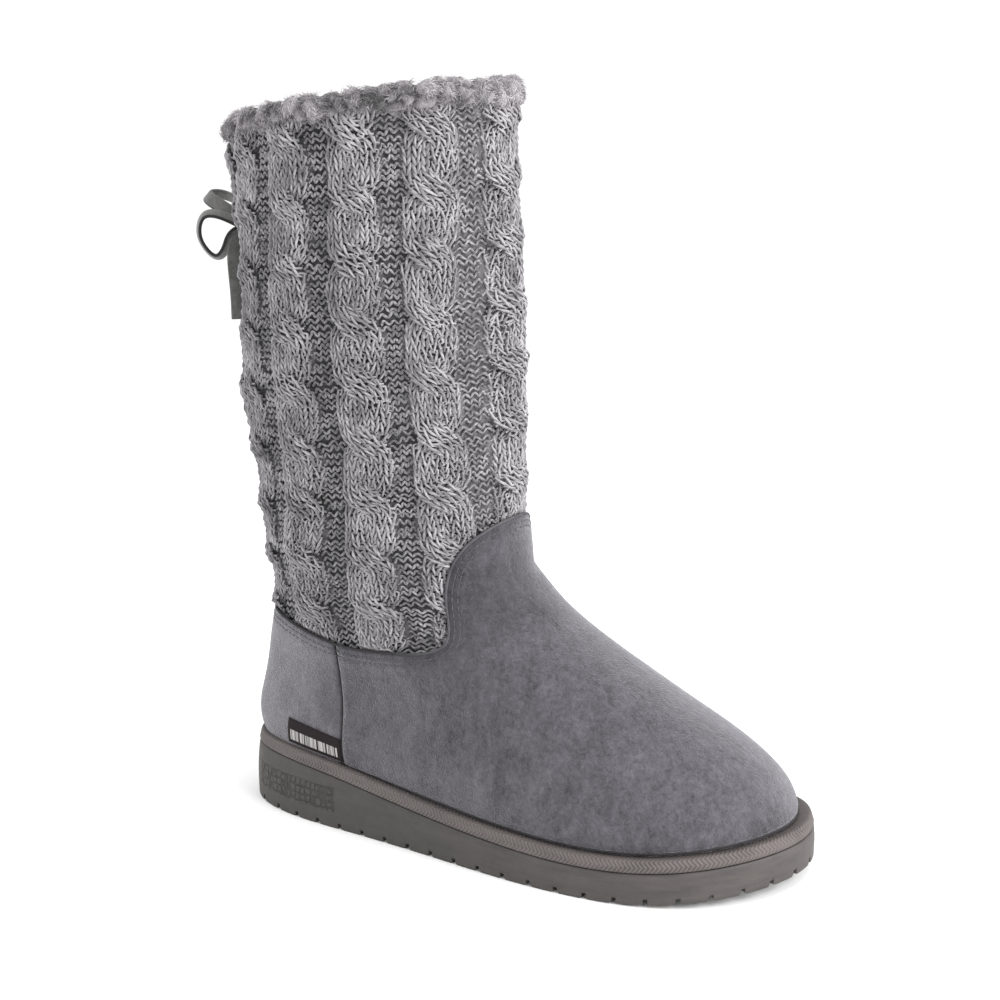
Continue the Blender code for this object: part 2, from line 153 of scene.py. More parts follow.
def soleOutline():
    # the closed outline by turn: 0 toe tip, 0.25 outer side, 0.5 heel, 0.75 inner side
    rows = np.array(boot["soleOutline"])
    count = len(rows)
    loop = np.vstack([rows, rows, rows, rows[:1]])
    chord = runLength(loop)
    curve = smoothCurve(chord, loop)
    fine = np.linspace(chord[count], chord[2 * count], 4001)
    run = runLength(curve(fine))
    heelRun = np.interp(chord[count + boot["heelRow"]], fine, run)

    def at(turns):
        turns = np.asarray(turns, float) % 1.0
        outer = turns / 0.5 * heelRun
        inner = heelRun + (turns - 0.5) / 0.5 * (run[-1] - heelRun)
        place = np.interp(np.where(turns <= 0.5, outer, inner), run, fine)
        tangent = curve(place + 0.05) - curve(place - 0.05)
        outward = np.stack([-tangent[:, 1], tangent[:, 0]], axis=1)
        outward /= np.linalg.norm(outward, axis=1)[:, None]
        return curve(place), outward, np.interp(place, fine, run)

    return at


outlineAt = soleOutline()
soleTopAt = smoothCurve(*zip(*boot["soleTop"]))
outlineEnds = outlineAt(np.linspace(0, 1, 2001))[0][:, 0]
middleX = (outlineEnds.min() + outlineEnds.max()) / 2


def soleTop(along):
    return soleTopAt(along)[:, 0]


def treadHeight(along):
    start, tip = boot["springStart"], boot["soleOutline"][0][0]
    return boot["toeSpring"] * np.clip((along - start) / (tip - start), 0, None) ** 2


def toMetres(points):
    # from millimetres at the heel to metres in the boot's own frame
    return (np.asarray(points, float) - (middleX, 0, 0)) * 0.001


def legLoops(turns):
    place, outward, _ = outlineAt(turns)
    feather = place - outward * boot["ledge"]
    low, high = feather[:, 0].min(), feather[:, 0].max()
    soleAlong = (feather[:, 0] - (low + high) / 2) / ((high - low) / 2)
    soleAcross = feather[:, 1] / boot["outlineHalfWidth"]
    angle = 2 * math.pi * np.asarray(turns)
    ends = soleTop(np.array([low, high]))
    ownCurve = soleTop(feather[:, 0]) - (ends[0] + (ends[1] - ends[0]) * (soleAlong + 1) / 2)
    loops = []
    for backX, backZ, frontX, frontZ, halfWidth, roundShare, shift, keep in boot["sections"]:
        along = soleAlong * (1 - roundShare) + np.cos(angle) * roundShare
        across = soleAcross * (1 - roundShare) - np.sin(angle) * roundShare
        x = (backX + frontX) / 2 + (frontX - backX) / 2 * along
        z = backZ + (frontZ - backZ) * (along + 1) / 2 + keep * ownCurve
        loops.append(np.stack([x, shift + halfWidth * across, z], axis=1))
    loops = np.array(loops)
    loops[-1, :, 2] += boot["toplineCrown"] * np.sin(angle) ** 2
    return loops


def broadcast(*values):
    return np.broadcast_arrays(*(np.asarray(value, float) for value in values))


def bilinear(table, row, column):
    # reads a table at broken rows and columns; the columns run round the leg
    row = np.clip(row, 0, table.shape[0] - 1.001)
    i, j = row.astype(int), np.floor(column).astype(int)
    a, b = row - i, column - np.floor(column)
    count = table.shape[1]
    j, k = j % count, (j + 1) % count
    if table.ndim == 3:
        a, b = a[..., None], b[..., None]
    low = table[i, j] * (1 - b) + table[i, k] * b
    high = table[i + 1, j] * (1 - b) + table[i + 1, k] * b
    return low * (1 - a) + high * a


class LegSurface:
    # outer face of foot and leg, by turn round the leg and level in mm from sole to topline

    def __init__(self, columns=720, step=0.8):
        self.columns = columns
        turns = np.arange(columns) / columns
        loops = legLoops(turns)
        coarse = legLoops(np.arange(64) / 64)     # the solids' own columns set the levels
        spacing = np.linalg.norm(np.diff(coarse, axis=0), axis=2).mean(axis=1)
        stations = np.concatenate([[0.0], np.cumsum(spacing)])
        self.top = stations[-1]
        self.rows = int(self.top / step) + 1
        self.step = self.top / (self.rows - 1)
        self.levels = np.linspace(0, self.top, self.rows)
        curve = smoothCurve(stations, loops.reshape(len(loops), -1))
        self.points = curve(self.levels).reshape(self.rows, columns, 3)
        self.normals = self.faceNormals()
        self.points += self.normals * self.foldDepth(turns)[..., None]
        self.normals = self.faceNormals()
        climb = np.linalg.norm(np.diff(self.points, axis=0), axis=2)
        below = np.vstack([np.cumsum(climb[::-1], axis=0)[::-1], np.zeros((1, columns))])
        depths = np.arange(0, below.max() + 2)
        self.levelTable = np.stack([np.interp(depths, below[::-1, i], self.levels[::-1])
                                    for i in range(columns)], axis=1)
        self.seam = self.seamLevels()
        self.seamRun, self.gapTable, self.alongTable = self.seamTables()

    def faceNormals(self):
        up = np.gradient(self.points, axis=0)
        across = np.roll(self.points, -1, axis=1) - np.roll(self.points, 1, axis=1)
        normals = np.cross(up, across)
        return normals / np.linalg.norm(normals, axis=2)[..., None]

    def foldDepth(self, turns):
        depth = np.zeros(self.points.shape[:2])
        heights = self.points[..., 2]
        for turn, height, halfRound, halfUp, lean, amount in boot["folds"]:
            away = (turns - turn + 0.5) % 1.0 - 0.5
            across = away / halfRound
            up = (heights - height - lean * away[None, :]) / halfUp
            depth += amount * np.exp(-boot["foldFade"] * (across[None, :] ** 2 + up ** 2))
        return depth

    def seamLevels(self):
        rows = boot["seam"] + [(1 - turn, height) for turn, height in reversed(boot["seam"][:-1])]
        rows = [(turn - 1, height) for turn, height in rows[-4:-1]] + rows
        rows = rows + [(turn + 1, height) for turn, height in boot["seam"][1:4]]
        heights = smoothCurve(*zip(*rows))(np.arange(self.columns) / self.columns)[:, 0]
        return np.array([np.interp(height, self.points[:, i, 2], self.levels)
                         for i, height in enumerate(heights)])

    def seamTables(self):
        # millimetres from the seam, positive on the knit, and the run along the seam
        turns = np.arange(self.columns + 1) / self.columns
        line = self.place(turns, np.append(self.seam, self.seam[0]))
        run = runLength(line)
        start, along = line[:-1:2], np.diff(line[::2], axis=0)
        size = (along ** 2).sum(axis=1)
        gaps, runs = [], []
        for points in self.points[::2]:
            nearest = np.linalg.norm(points[:, None] - start[None], axis=2).argmin(axis=1)
            best = np.full(len(points), 1e9)
            where = np.zeros(len(points))
            for piece in (nearest, (nearest - 1) % len(start)):
                share = np.clip(((points - start[piece]) * along[piece]).sum(axis=1) / size[piece], 0, 1)
                away = np.linalg.norm(points - start[piece] - along[piece] * share[:, None], axis=1)
                closer = away < best
                best = np.where(closer, away, best)
                where = np.where(closer, run[piece * 2] + share * np.sqrt(size[piece]), where)
            gaps.append(best)
            runs.append(where)
        sign = np.where(self.levels[::2, None] >= self.seam[None], 1, -1)
        return run, np.array(gaps) * sign, np.array(runs)

    def column(self, turn):
        return (np.asarray(turn, float) % 1.0) * self.columns

    def gap(self, turn, level):
        return bilinear(self.gapTable, np.asarray(level, float) / self.step / 2, self.column(turn))

    def seamAt(self, turn):
        seam = np.append(self.seam, self.seam[0])
        return np.interp(self.column(turn), np.arange(self.columns + 1), seam)

    def levelBelow(self, turn, below):
        # level at a distance down the leg from the topline
        level = bilinear(self.levelTable, np.maximum(below, 0), self.column(turn))
        return level + np.maximum(-below, 0)

    def upward(self, turn):
        # the way the leg goes on at the topline
        column = self.column(turn)
        last, before = (bilinear(self.points, np.full(turn.shape, self.rows - back), column)
                        for back in (1.0, 9.0))
        return (last - before) / np.linalg.norm(last - before, axis=-1)[..., None]

    def place(self, turn, level, lift=0.0):
        # points in millimetres, lift above the face; past the topline the leg goes straight on
        turn, level, lift = broadcast(turn, level, lift)
        row, column = level / self.step, self.column(turn)
        points = bilinear(self.points, row, column)
        normals = bilinear(self.normals, row, column)
        normals = normals / np.linalg.norm(normals, axis=-1)[..., None]
        over = np.maximum(level - self.top, 0)
        points = points + self.upward(turn) * over[..., None] + normals * lift[..., None]
        points[..., 2] += np.minimum(level, 0)
        return points


leg = LegSurface()
print("leg surface:", leg.rows, "levels, seam", round(leg.seamRun[-1]), "mm long")


def finishPiece(piece, material, slot, *replaced):
    piece.data.materials.clear()
    piece.data.materials.append(material)
    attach(piece, "root")
    if replaced:
        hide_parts(*replaced)
    return piece


def newObject(name, data):
    made = bpy.data.objects.new(name, data)
    bpy.context.scene.collection.objects.link(made)
    return made


def linkMesh(name, shape, sharp=None):
    # turns a bmesh into a piece, shaded smooth
    mesh = bpy.data.meshes.new(name)
    shape.to_mesh(mesh)
    shape.free()
    mesh.shade_smooth()
    if sharp is not None:
        mesh.set_sharp_from_angle(angle=math.radians(sharp))
    return newObject(name, mesh)


def sheetPiece(name, points, marks=None, closed=False, thick=0.0, sharp=None):
    # a grid laid over a table of places in mm, rows by columns;
    # marks are the same corners' UV in mm
    rows, columns = points.shape[:2]
    shape = bmesh.new()
    bmesh.ops.create_grid(shape, x_segments=columns - 1, y_segments=rows - 1, size=0.5)
    flat = np.array([vert.co[:2] for vert in shape.verts]) + 0.5
    i = np.rint(flat[:, 1] * (rows - 1)).astype(int)
    j = np.rint(flat[:, 0] * (columns - 1)).astype(int)
    if marks is not None:
        layer = shape.loops.layers.uv.new("UVMap")
        spots = (marks * 0.01)[i, j].tolist()
        for face in shape.faces:
            for loop in face.loops:
                loop[layer].uv = spots[loop.vert.index]
    for vert, place in zip(shape.verts, toMetres(points)[i, j].tolist()):
        vert.co = place
    bmesh.ops.remove_doubles(shape, verts=shape.verts, dist=1e-6)
    if closed:
        bmesh.ops.recalc_face_normals(shape, faces=shape.faces)
    piece = linkMesh(name, shape, sharp)
    if thick:
        shell = piece.modifiers.new("thickness", "SOLIDIFY")
        shell.thickness = thick * 0.001
        shell.offset = -1
    return piece


def strandPiece(name, routes, radius, sides=0, radii=None, closed=False, flat=0.0, tilts=None):
    # many threads as one mesh: each route is an array of points in metres
    curve = bpy.data.curves.new(name, "CURVE")
    curve.dimensions = "3D"
    curve.twist_mode = "MINIMUM"
    curve.bevel_depth = radius
    curve.extrude = flat
    curve.bevel_resolution = sides
    curve.fill_mode = "FULL"
    curve.use_fill_caps = sides > 0
    for number, route in enumerate(routes):
        line = curve.splines.new("POLY")
        line.points.add(len(route) - 1)
        line.points.foreach_set("co", np.column_stack([route, np.ones(len(route))]).ravel())
        if radii is not None:
            line.points.foreach_set("radius", np.asarray(radii[number], float))
        if tilts is not None:
            line.points.foreach_set("tilt", np.full(len(route), tilts[number]))
        line.use_cyclic_u = closed
    source = newObject(name + "_line", curve)
    ready = source.evaluated_get(bpy.context.evaluated_depsgraph_get())
    mesh = bpy.data.meshes.new_from_object(ready)
    mesh.name = name
    mesh.shade_smooth()
    bpy.data.objects.remove(source)
    bpy.data.curves.remove(curve)
    return newObject(name, mesh)


def keepDepth(piece, depths):
    # marks how deep each bit of wool lies, for the painted shade there; each entry is shared by the
    # vertices made from it
    layer = piece.data.attributes.new("depth", "FLOAT", "POINT")
    layer.data.foreach_set("value", np.repeat(depths, len(piece.data.vertices) // len(depths)))


def newMaterial(name, roughness, **fixed):
    material = bpy.data.materials.new(name)
    material.use_nodes = True
    dress(material, Roughness=roughness, **fixed)
    return material, material.node_tree


def dress(material, **sockets):
    # sets or links the named sockets of the material's shader
    shader = material.node_tree.nodes["Principled BSDF"]
    for socket, value in sockets.items():
        feed(material.node_tree, shader.inputs[socket.replace("_", " ")], value)
    return material


def addNode(tree, kind, **values):
    node = tree.nodes.new(kind)
    for key, value in values.items():
        if hasattr(node, key):
            setattr(node, key, value)
        else:
            node.inputs[key.replace("_", " ")].default_value = value
    return node


def feed(tree, socket, value):
    if hasattr(value, "is_output"):
        tree.links.new(value, socket)
    elif isinstance(value, (int, float)):
        socket.default_value = value
    else:
        socket.default_value = (*value, 1.0) if len(value) == 3 and socket.type == "RGBA" else value


def mixColours(tree, factor, first, second):
    node = addNode(tree, "ShaderNodeMix", data_type="RGBA")
    for socket, value in zip((0, 6, 7), (factor, first, second)):
        feed(tree, node.inputs[socket], value)
    return node.outputs[2]


def mathNode(tree, operation, *values):
    node = addNode(tree, "ShaderNodeMath", operation=operation)
    for socket, value in zip(node.inputs, values):
        feed(tree, socket, value)
    return node.outputs[0]


def times(tree, product, *others):
    for other in others:
        product = mathNode(tree, "MULTIPLY", product, other)
    return product


def weighted(tree, *parts):
    # sum of values, each given with its share
    total = None
    for value, share in parts:
        if share != 1:
            value = times(tree, value, share)
        total = value if total is None else mathNode(tree, "ADD", total, value)
    return total


def within(tree, value, low, high):
    # 1 between low and high, 0 elsewhere
    above = mathNode(tree, "GREATER_THAN", value, low)
    return times(tree, above, mathNode(tree, "LESS_THAN", value, high))


def wave(tree, value, scale):
    return mathNode(tree, "SINE", times(tree, value, scale))


def darker(colour, share):
    return tuple(part * share for part in colour)


def coordinates(tree):
    # places in the boot's own frame, and the piece's marks
    node = addNode(tree, "ShaderNodeTexCoord")
    return node.outputs["Object"], node.outputs["UV"]


def split(tree, vector):
    node = addNode(tree, "ShaderNodeSeparateXYZ")
    tree.links.new(vector, node.inputs[0])
    return tuple(node.outputs)


def depthMark(tree):
    return addNode(tree, "ShaderNodeAttribute", attribute_name="depth").outputs["Fac"]


def noiseNode(tree, vector, scale, detail=3.0, roughness=0.55, distortion=0.0):
    node = addNode(tree, "ShaderNodeTexNoise", Detail=detail, Roughness=roughness,
                   Distortion=distortion)
    feed(tree, node.inputs["Scale"], scale)
    tree.links.new(vector, node.inputs["Vector"])
    return node.outputs["Fac"]


def stretched(tree, vector, scale):
    node = addNode(tree, "ShaderNodeMapping")
    node.inputs["Scale"].default_value = scale
    tree.links.new(vector, node.inputs["Vector"])
    return node.outputs["Vector"]


def remap(tree, value, low, high, newLow=0.0, newHigh=1.0):
    node = addNode(tree, "ShaderNodeMapRange", clamp=True)
    tree.links.new(value, node.inputs["Value"])
    numbers = {"From Min": low, "From Max": high, "To Min": newLow, "To Max": newHigh}
    for key, number in numbers.items():
        feed(tree, node.inputs[key], number)
    return node.outputs["Result"]


def bumpNode(tree, height, distance, strength=1.0, normal=None):
    node = addNode(tree, "ShaderNodeBump", Distance=distance, Strength=strength)
    tree.links.new(height, node.inputs["Height"])
    if normal is not None:
        tree.links.new(normal, node.inputs["Normal"])
    return node.outputs["Normal"]


def newGroup(name, inputs, outputs):
    # an effect for several materials: inputs are (name, value), a value of None being a vector
    tree = bpy.data.node_groups.new(name, "ShaderNodeTree")
    for label, value in inputs:
        kind = "NodeSocketVector" if value is None else "NodeSocketFloat"
        socket = tree.interface.new_socket(label, in_out="INPUT", socket_type=kind)
        if value is not None:
            socket.default_value = value
    for label in outputs:
        tree.interface.new_socket(label, in_out="OUTPUT", socket_type="NodeSocketFloat")
    return tree, tree.nodes.new("NodeGroupInput").outputs, tree.nodes.new("NodeGroupOutput").inputs


def placeGroup(tree, group, vector, **values):
    node = tree.nodes.new("ShaderNodeGroup")
    node.node_tree = group
    tree.links.new(vector, node.inputs["Vector"])
    for key, value in values.items():
        node.inputs[key].default_value = value
    return node.outputs


def napGroup():
    # brushed suede: cloudy patches, brush marks and short fibres
    tree, given, result = newGroup(
        "suede_nap", [("Vector", None), ("Patches", 42.0), ("Fibres", 1300.0)], ["Tone", "Height"])
    place = given["Vector"]
    patches = remap(tree, noiseNode(tree, place, given["Patches"], 4.0, 0.6, 0.6), 0.32, 0.68)
    brushed = stretched(tree, place, (1.0, 1.0, 0.35))
    strokes = remap(tree, noiseNode(tree, brushed, 190.0, 3.0, 0.65, 0.8), 0.30, 0.70)
    mottle = remap(tree, noiseNode(tree, place, 430.0, 3.0, 0.7, 0.5), 0.34, 0.66)
    fibres = noiseNode(tree, place, given["Fibres"], 3.0, 0.7)
    fine = remap(tree, fibres, 0.36, 0.64)
    feed(tree, result["Tone"],
         weighted(tree, (patches, 0.26), (strokes, 0.26), (mottle, 0.28), (fine, 0.20)))
    feed(tree, result["Height"], weighted(tree, (fibres, 1), (mottle, 0.2)))
    return tree


def rubberGroup():
    # foamed rubber: mould grain, drawn-out rub marks and dust
    tree, given, result = newGroup(
        "foam_rubber", [("Vector", None), ("Grain", 1500.0)], ["Rub", "Dust", "Height"])
    place = given["Vector"]
    drawn = stretched(tree, place, (1.0, 1.0, 6.0))
    dust = remap(tree, noiseNode(tree, place, 170.0, 5.0, 0.7), 0.30, 0.75)
    grain = noiseNode(tree, place, given["Grain"], 2.0, 0.6)
    feed(tree, result["Rub"], remap(tree, noiseNode(tree, drawn, 55.0, 4.0, 0.6, 0.4), 0.35, 0.65))
    feed(tree, result["Dust"], dust)
    feed(tree, result["Height"], weighted(tree, (grain, 1), (dust, 0.35)))
    return tree


def woolGroup():
    # loose wool: heathered tone and fibres
    tree, given, result = newGroup(
        "loose_wool", [("Vector", None), ("Curl", 240.0), ("Fibres", 1500.0)], ["Heather", "Fuzz"])
    place = given["Vector"]
    heather = noiseNode(tree, place, given["Curl"], 3.0, 0.6, 0.5)
    feed(tree, result["Heather"], remap(tree, heather, 0.33, 0.67))
    feed(tree, result["Fuzz"], noiseNode(tree, place, given["Fibres"], 3.0, 0.7))
    return tree


suedeNap = napGroup()
foamRubber = rubberGroup()
looseWool = woolGroup()

view = {
    "place": (0.48318, -0.69924, 0.35830),
    "azimuth": 34.77,
    "pitch": -13.82,
    "roll": -2.34,
    "lens": 74.02,
    "sensor": 36.0,
    "clip": (0.05, 20.0),
}


def buildCamera():
    azimuth, pitch, roll = (math.radians(view[key]) for key in ("azimuth", "pitch", "roll"))
    forward = Vector((-math.sin(azimuth) * math.cos(pitch),
                      math.cos(azimuth) * math.cos(pitch), math.sin(pitch)))
    level = Vector((math.cos(azimuth), math.sin(azimuth), 0))
    upright = level.cross(forward)
    right = level * math.cos(roll) + upright * math.sin(roll)
    up = upright * math.cos(roll) - level * math.sin(roll)
    data = bpy.data.cameras.new("camera")
    data.sensor_width = view["sensor"]
    data.lens = view["lens"]
    data.clip_start, data.clip_end = view["clip"]
    camera = newObject("camera", data)
    turned = Matrix((right, up, -forward)).transposed().to_4x4()
    camera.matrix_world = Matrix.Translation(view["place"]) @ turned
    bpy.context.scene.camera = camera


buildCamera()
print("camera")

# The lace tied at the back of the leg. Millimetres from the knot's middle: behind, towards the
# inner side, above.
tie = {
    "width": 6.2,
    "thickness": 1.6,
    "wide": 0.005,               # width of the flat lace, in metres
    "intoKnot": {
        "loopOuter": [(0.8, -1.2, 0.6), (1.4, -1.6, -1.3)],
        "loopInner": [(0.8, 1.2, 0.6), (1.6, 1.0, 0.2)],
        "tailOuter": [(0.6, -1.2, -1.2)],
        "tailInner": [(0.6, 1.0, -1.2)],
    },
    "loopOuter": [(2.8, -3.3, 2.1), (8.5, -7.5, 5.4), (14.5, -10.5, 5.2), (17.0, -12.0, -1.0),
                  (15.0, -10.8, -9.5), (10.2, -8.2, -13.6), (6.8, -6.4, -10.0), (4.2, -4.7, -3.8)],
    "loopInner": [(3.0, 3.5, 2.0), (9.0, 8.5, 7.0), (17.0, 12.0, 10.5), (23.5, 10.0, 12.5),
                  (25.0, 4.5, 12.5), (20.0, 2.0, 10.0), (12.0, 2.5, 6.0), (6.0, 3.0, 1.5)],
    "tailOuter": [(1.0, -3.0, -4.2), (1.0, -6.2, -8.0), (0.0, -9.0, -16.0), (-0.8, -9.5, -28.0),
                  (-0.8, -9.8, -41.0)],
    "tailInner": [(1.0, 2.4, -4.6), (1.4, 1.6, -11.0), (0.8, -0.8, -20.0), (0.2, -1.6, -34.0),
                  (0.0, -2.0, -48.0)],
    "bar": [(-14.5, -14.6, 0.3), (-10.4, -13.8, 0.3), (-7.3, -12.0, 0.2), (-6.2, -9.5, 0.1),
            (-5.4, -5.0, 0.0), (-5.15, 0.0, 0.0), (-5.4, 5.0, 0.0), (-6.2, 9.5, -0.1),
            (-7.3, 12.0, -0.2), (-10.4, 13.8, -0.3), (-14.5, 14.6, -0.3)],
    # piece, route, twist of the ribbon, far end, lay
    "cords": [
        ("lace_loop_outer", "loopOuter", 1.0, "object", "loose"),
        ("lace_loop_inner", "loopInner", -0.3, "object", "loose"),
        ("lace_tail_outer", "tailOuter", 0.7, "bare", "hanging"),
        ("lace_tail_inner", "tailInner", 0.7, "bare", "hanging"),
    ],
    "frontFace": (0.20, 0.80),   # share of the way round the section
    "wrapRadius": 3.25,
    "wrapTilt": 14.0,
    "wrapStretch": 1.06,
    "wrapSides": (14, 40),       # corners of the wrap's section, steps round it
    "squareness": 0.6,           # of the wrap's section: 1 is round
    "core": (3.3, 4.3, 3.7),     # half sizes of the folds under the wrap
    "crease": 0.13,
    "swell": 0.10,
    "colours": ((0.055, 0.055, 0.054), (0.190, 0.187, 0.182)),
    # painted shade for the shadowed back of the loops' lace
    "backShadeColours": ((0.008, 0.007, 0.008), (0.034, 0.032, 0.032)),
}


def laceMaterial(name, shadedBack=False):
    material, tree = newMaterial(name, 0.92, Sheen_Weight=0.35, Sheen_Roughness=0.45)
    place, marks = coordinates(tree)
    nap = placeGroup(tree, suedeNap, place, Patches=160.0, Fibres=1700.0)
    colour = mixColours(tree, nap["Tone"], *tie["colours"])
    if shadedBack:
        # painted shade: the back of the lace, which lies in shadow, is painted nearly black; the second
        # mark runs round its section
        front = within(tree, split(tree, marks)[1], *tie["frontFace"])
        colour = mixColours(tree, front, mixColours(tree, nap["Tone"], *tie["backShadeColours"]), colour)
    return dress(material, Base_Color=colour, Normal=bumpNode(tree, nap["Height"], 0.0004, 0.7))


softLace = laceMaterial("suede_lace")
loopLace = laceMaterial("suede_lace_loops", shadedBack=True)
knotMiddle = (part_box("tie_knot")[0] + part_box("tie_knot")[1]) / 2


def laceRoute(points, spacing=1.0):
    x, y, z = (part * 1000 for part in knotMiddle)
    places = np.array([(x - behind, y + inner, z + above) for behind, inner, above in points])
    run = runLength(places)
    return smoothCurve(run, places)(np.linspace(0, run[-1], int(run[-1] / spacing) + 2)) * 0.001


def lacePiece(name, key, twist, *replaced):
    # both ends of a loop, and a tail's start, run on into the knot
    ends = tie["intoKnot"].get(key, [])
    route = laceRoute(ends[:1] + tie[key] + ends[1:])
    piece = strandPiece(name, [route], tie["thickness"] * 0.0005, 2, tilts=[twist],
                        flat=(tie["width"] - tie["thickness"]) * 0.0005)
    finishPiece(piece, loopLace if key.startswith("loop") else softLace, "lace", *replaced)
    return piece, route


def buildKnot():
    # a wrap of lace round two soft folds
    wrap = bmesh.new()
    corners, steps = tie["wrapSides"]
    bmesh.ops.create_circle(wrap, cap_ends=False, segments=corners, radius=1.0)
    for vert in wrap.verts:
        x, y = (math.copysign(abs(part) ** tie["squareness"], part) for part in vert.co[:2])
        vert.co = (x * tie["thickness"] * 0.0005 + tie["wrapRadius"] * 0.001,
                   y * tie["width"] * 0.00045, 0)
    bmesh.ops.spin(wrap, geom=wrap.verts[:] + wrap.edges[:], cent=(0, 0, 0), axis=(0, 1, 0),
                   angle=2 * math.pi, steps=steps, use_merge=True)
    bmesh.ops.remove_doubles(wrap, verts=wrap.verts, dist=1e-6)
    bmesh.ops.recalc_face_normals(wrap, faces=wrap.faces)
    # spinning leaves the faces in no set order
    wrap.verts.index_update()
    wrap.faces.sort(key=lambda face: sum(vert.index ** 2 for vert in face.verts))
    bmesh.ops.scale(wrap, vec=(1.0, 1.0, tie["wrapStretch"]), verts=wrap.verts)
    tilt = Euler((math.radians(tie["wrapTilt"]), 0, 0)).to_matrix()
    bmesh.ops.rotate(wrap, cent=(0, 0, 0), matrix=tilt, verts=wrap.verts)
    folds = bmesh.new()
    bmesh.ops.create_icosphere(folds, subdivisions=4, radius=1.0)
    for vert in folds.verts:
        x, y, z = vert.co
        crease = 1 - tie["crease"] * math.exp(-((z - 0.25 * y) / 0.16) ** 2) * min(1, abs(y) * 1.6)
        swell = 1 + tie["swell"] * math.sin(5 * x + 2 * y)
        vert.co = [part * size * 0.001 * crease * swell for part, size in zip(vert.co, tie["core"])]
    pieces = []
    for name, shape in (("lace_knot_wrap", wrap), ("lace_knot_folds", folds)):
        bmesh.ops.translate(shape, vec=knotMiddle, verts=shape.verts)
        pieces.append(finishPiece(linkMesh(name, shape), softLace, "lace", "tie_knot"))
    return pieces


def buildTie():
    knotPieces = buildKnot()
    lacePiece("lace_bar", "bar", 0.0, "tie_bar")
    for name, key, twist, end, lay in tie["cords"]:
        piece, route = lacePiece(name, key, twist, name.replace("lace_", "tie_"))
    print("lace bow")


buildTie()

studio = {
    "floorSize": 8.0,
    "floorColour": (0.94, 0.94, 0.94),
    "sky": 1.05,
    # name, place, aim, size, watts
    "lamps": [
        ("left", (-1.7, -0.8, 1.1), (0, 0, 0.15), 1.4, 9.0),
        ("right", (1.8, -0.1, 1.0), (0, 0, 0.1), 1.4, 50.0),
        ("top", (0.1, 0.2, 2.0), (0, 0, 0.1), 1.2, 8.0),
    ],
}


def buildStudio():
    shape = bmesh.new()
    bmesh.ops.create_grid(shape, x_segments=1, y_segments=1, size=studio["floorSize"] / 2)
    floor = linkMesh("floor", shape)
    material, _ = newMaterial("floor_paint", 0.9, Base_Color=studio["floorColour"])
    floor.data.materials.append(material)
    scene = bpy.context.scene
    scene.world = bpy.data.worlds.new("studio")
    scene.world.use_nodes = True
    background = scene.world.node_tree.nodes["Background"]
    background.inputs["Color"].default_value = (1, 1, 1, 1)
    background.inputs["Strength"].default_value = studio["sky"]
    scene.view_settings.view_transform = "Standard"
    for name, place, aim, size, watts in studio["lamps"]:
        data = bpy.data.lights.new(name, "AREA")
        data.size = size
        data.energy = watts
        lamp = newObject(name, data)
        lamp.location = place
        lamp.rotation_euler = (Vector(aim) - Vector(place)).to_track_quat("-Z", "Y").to_euler()


buildStudio()
print("floor and light")

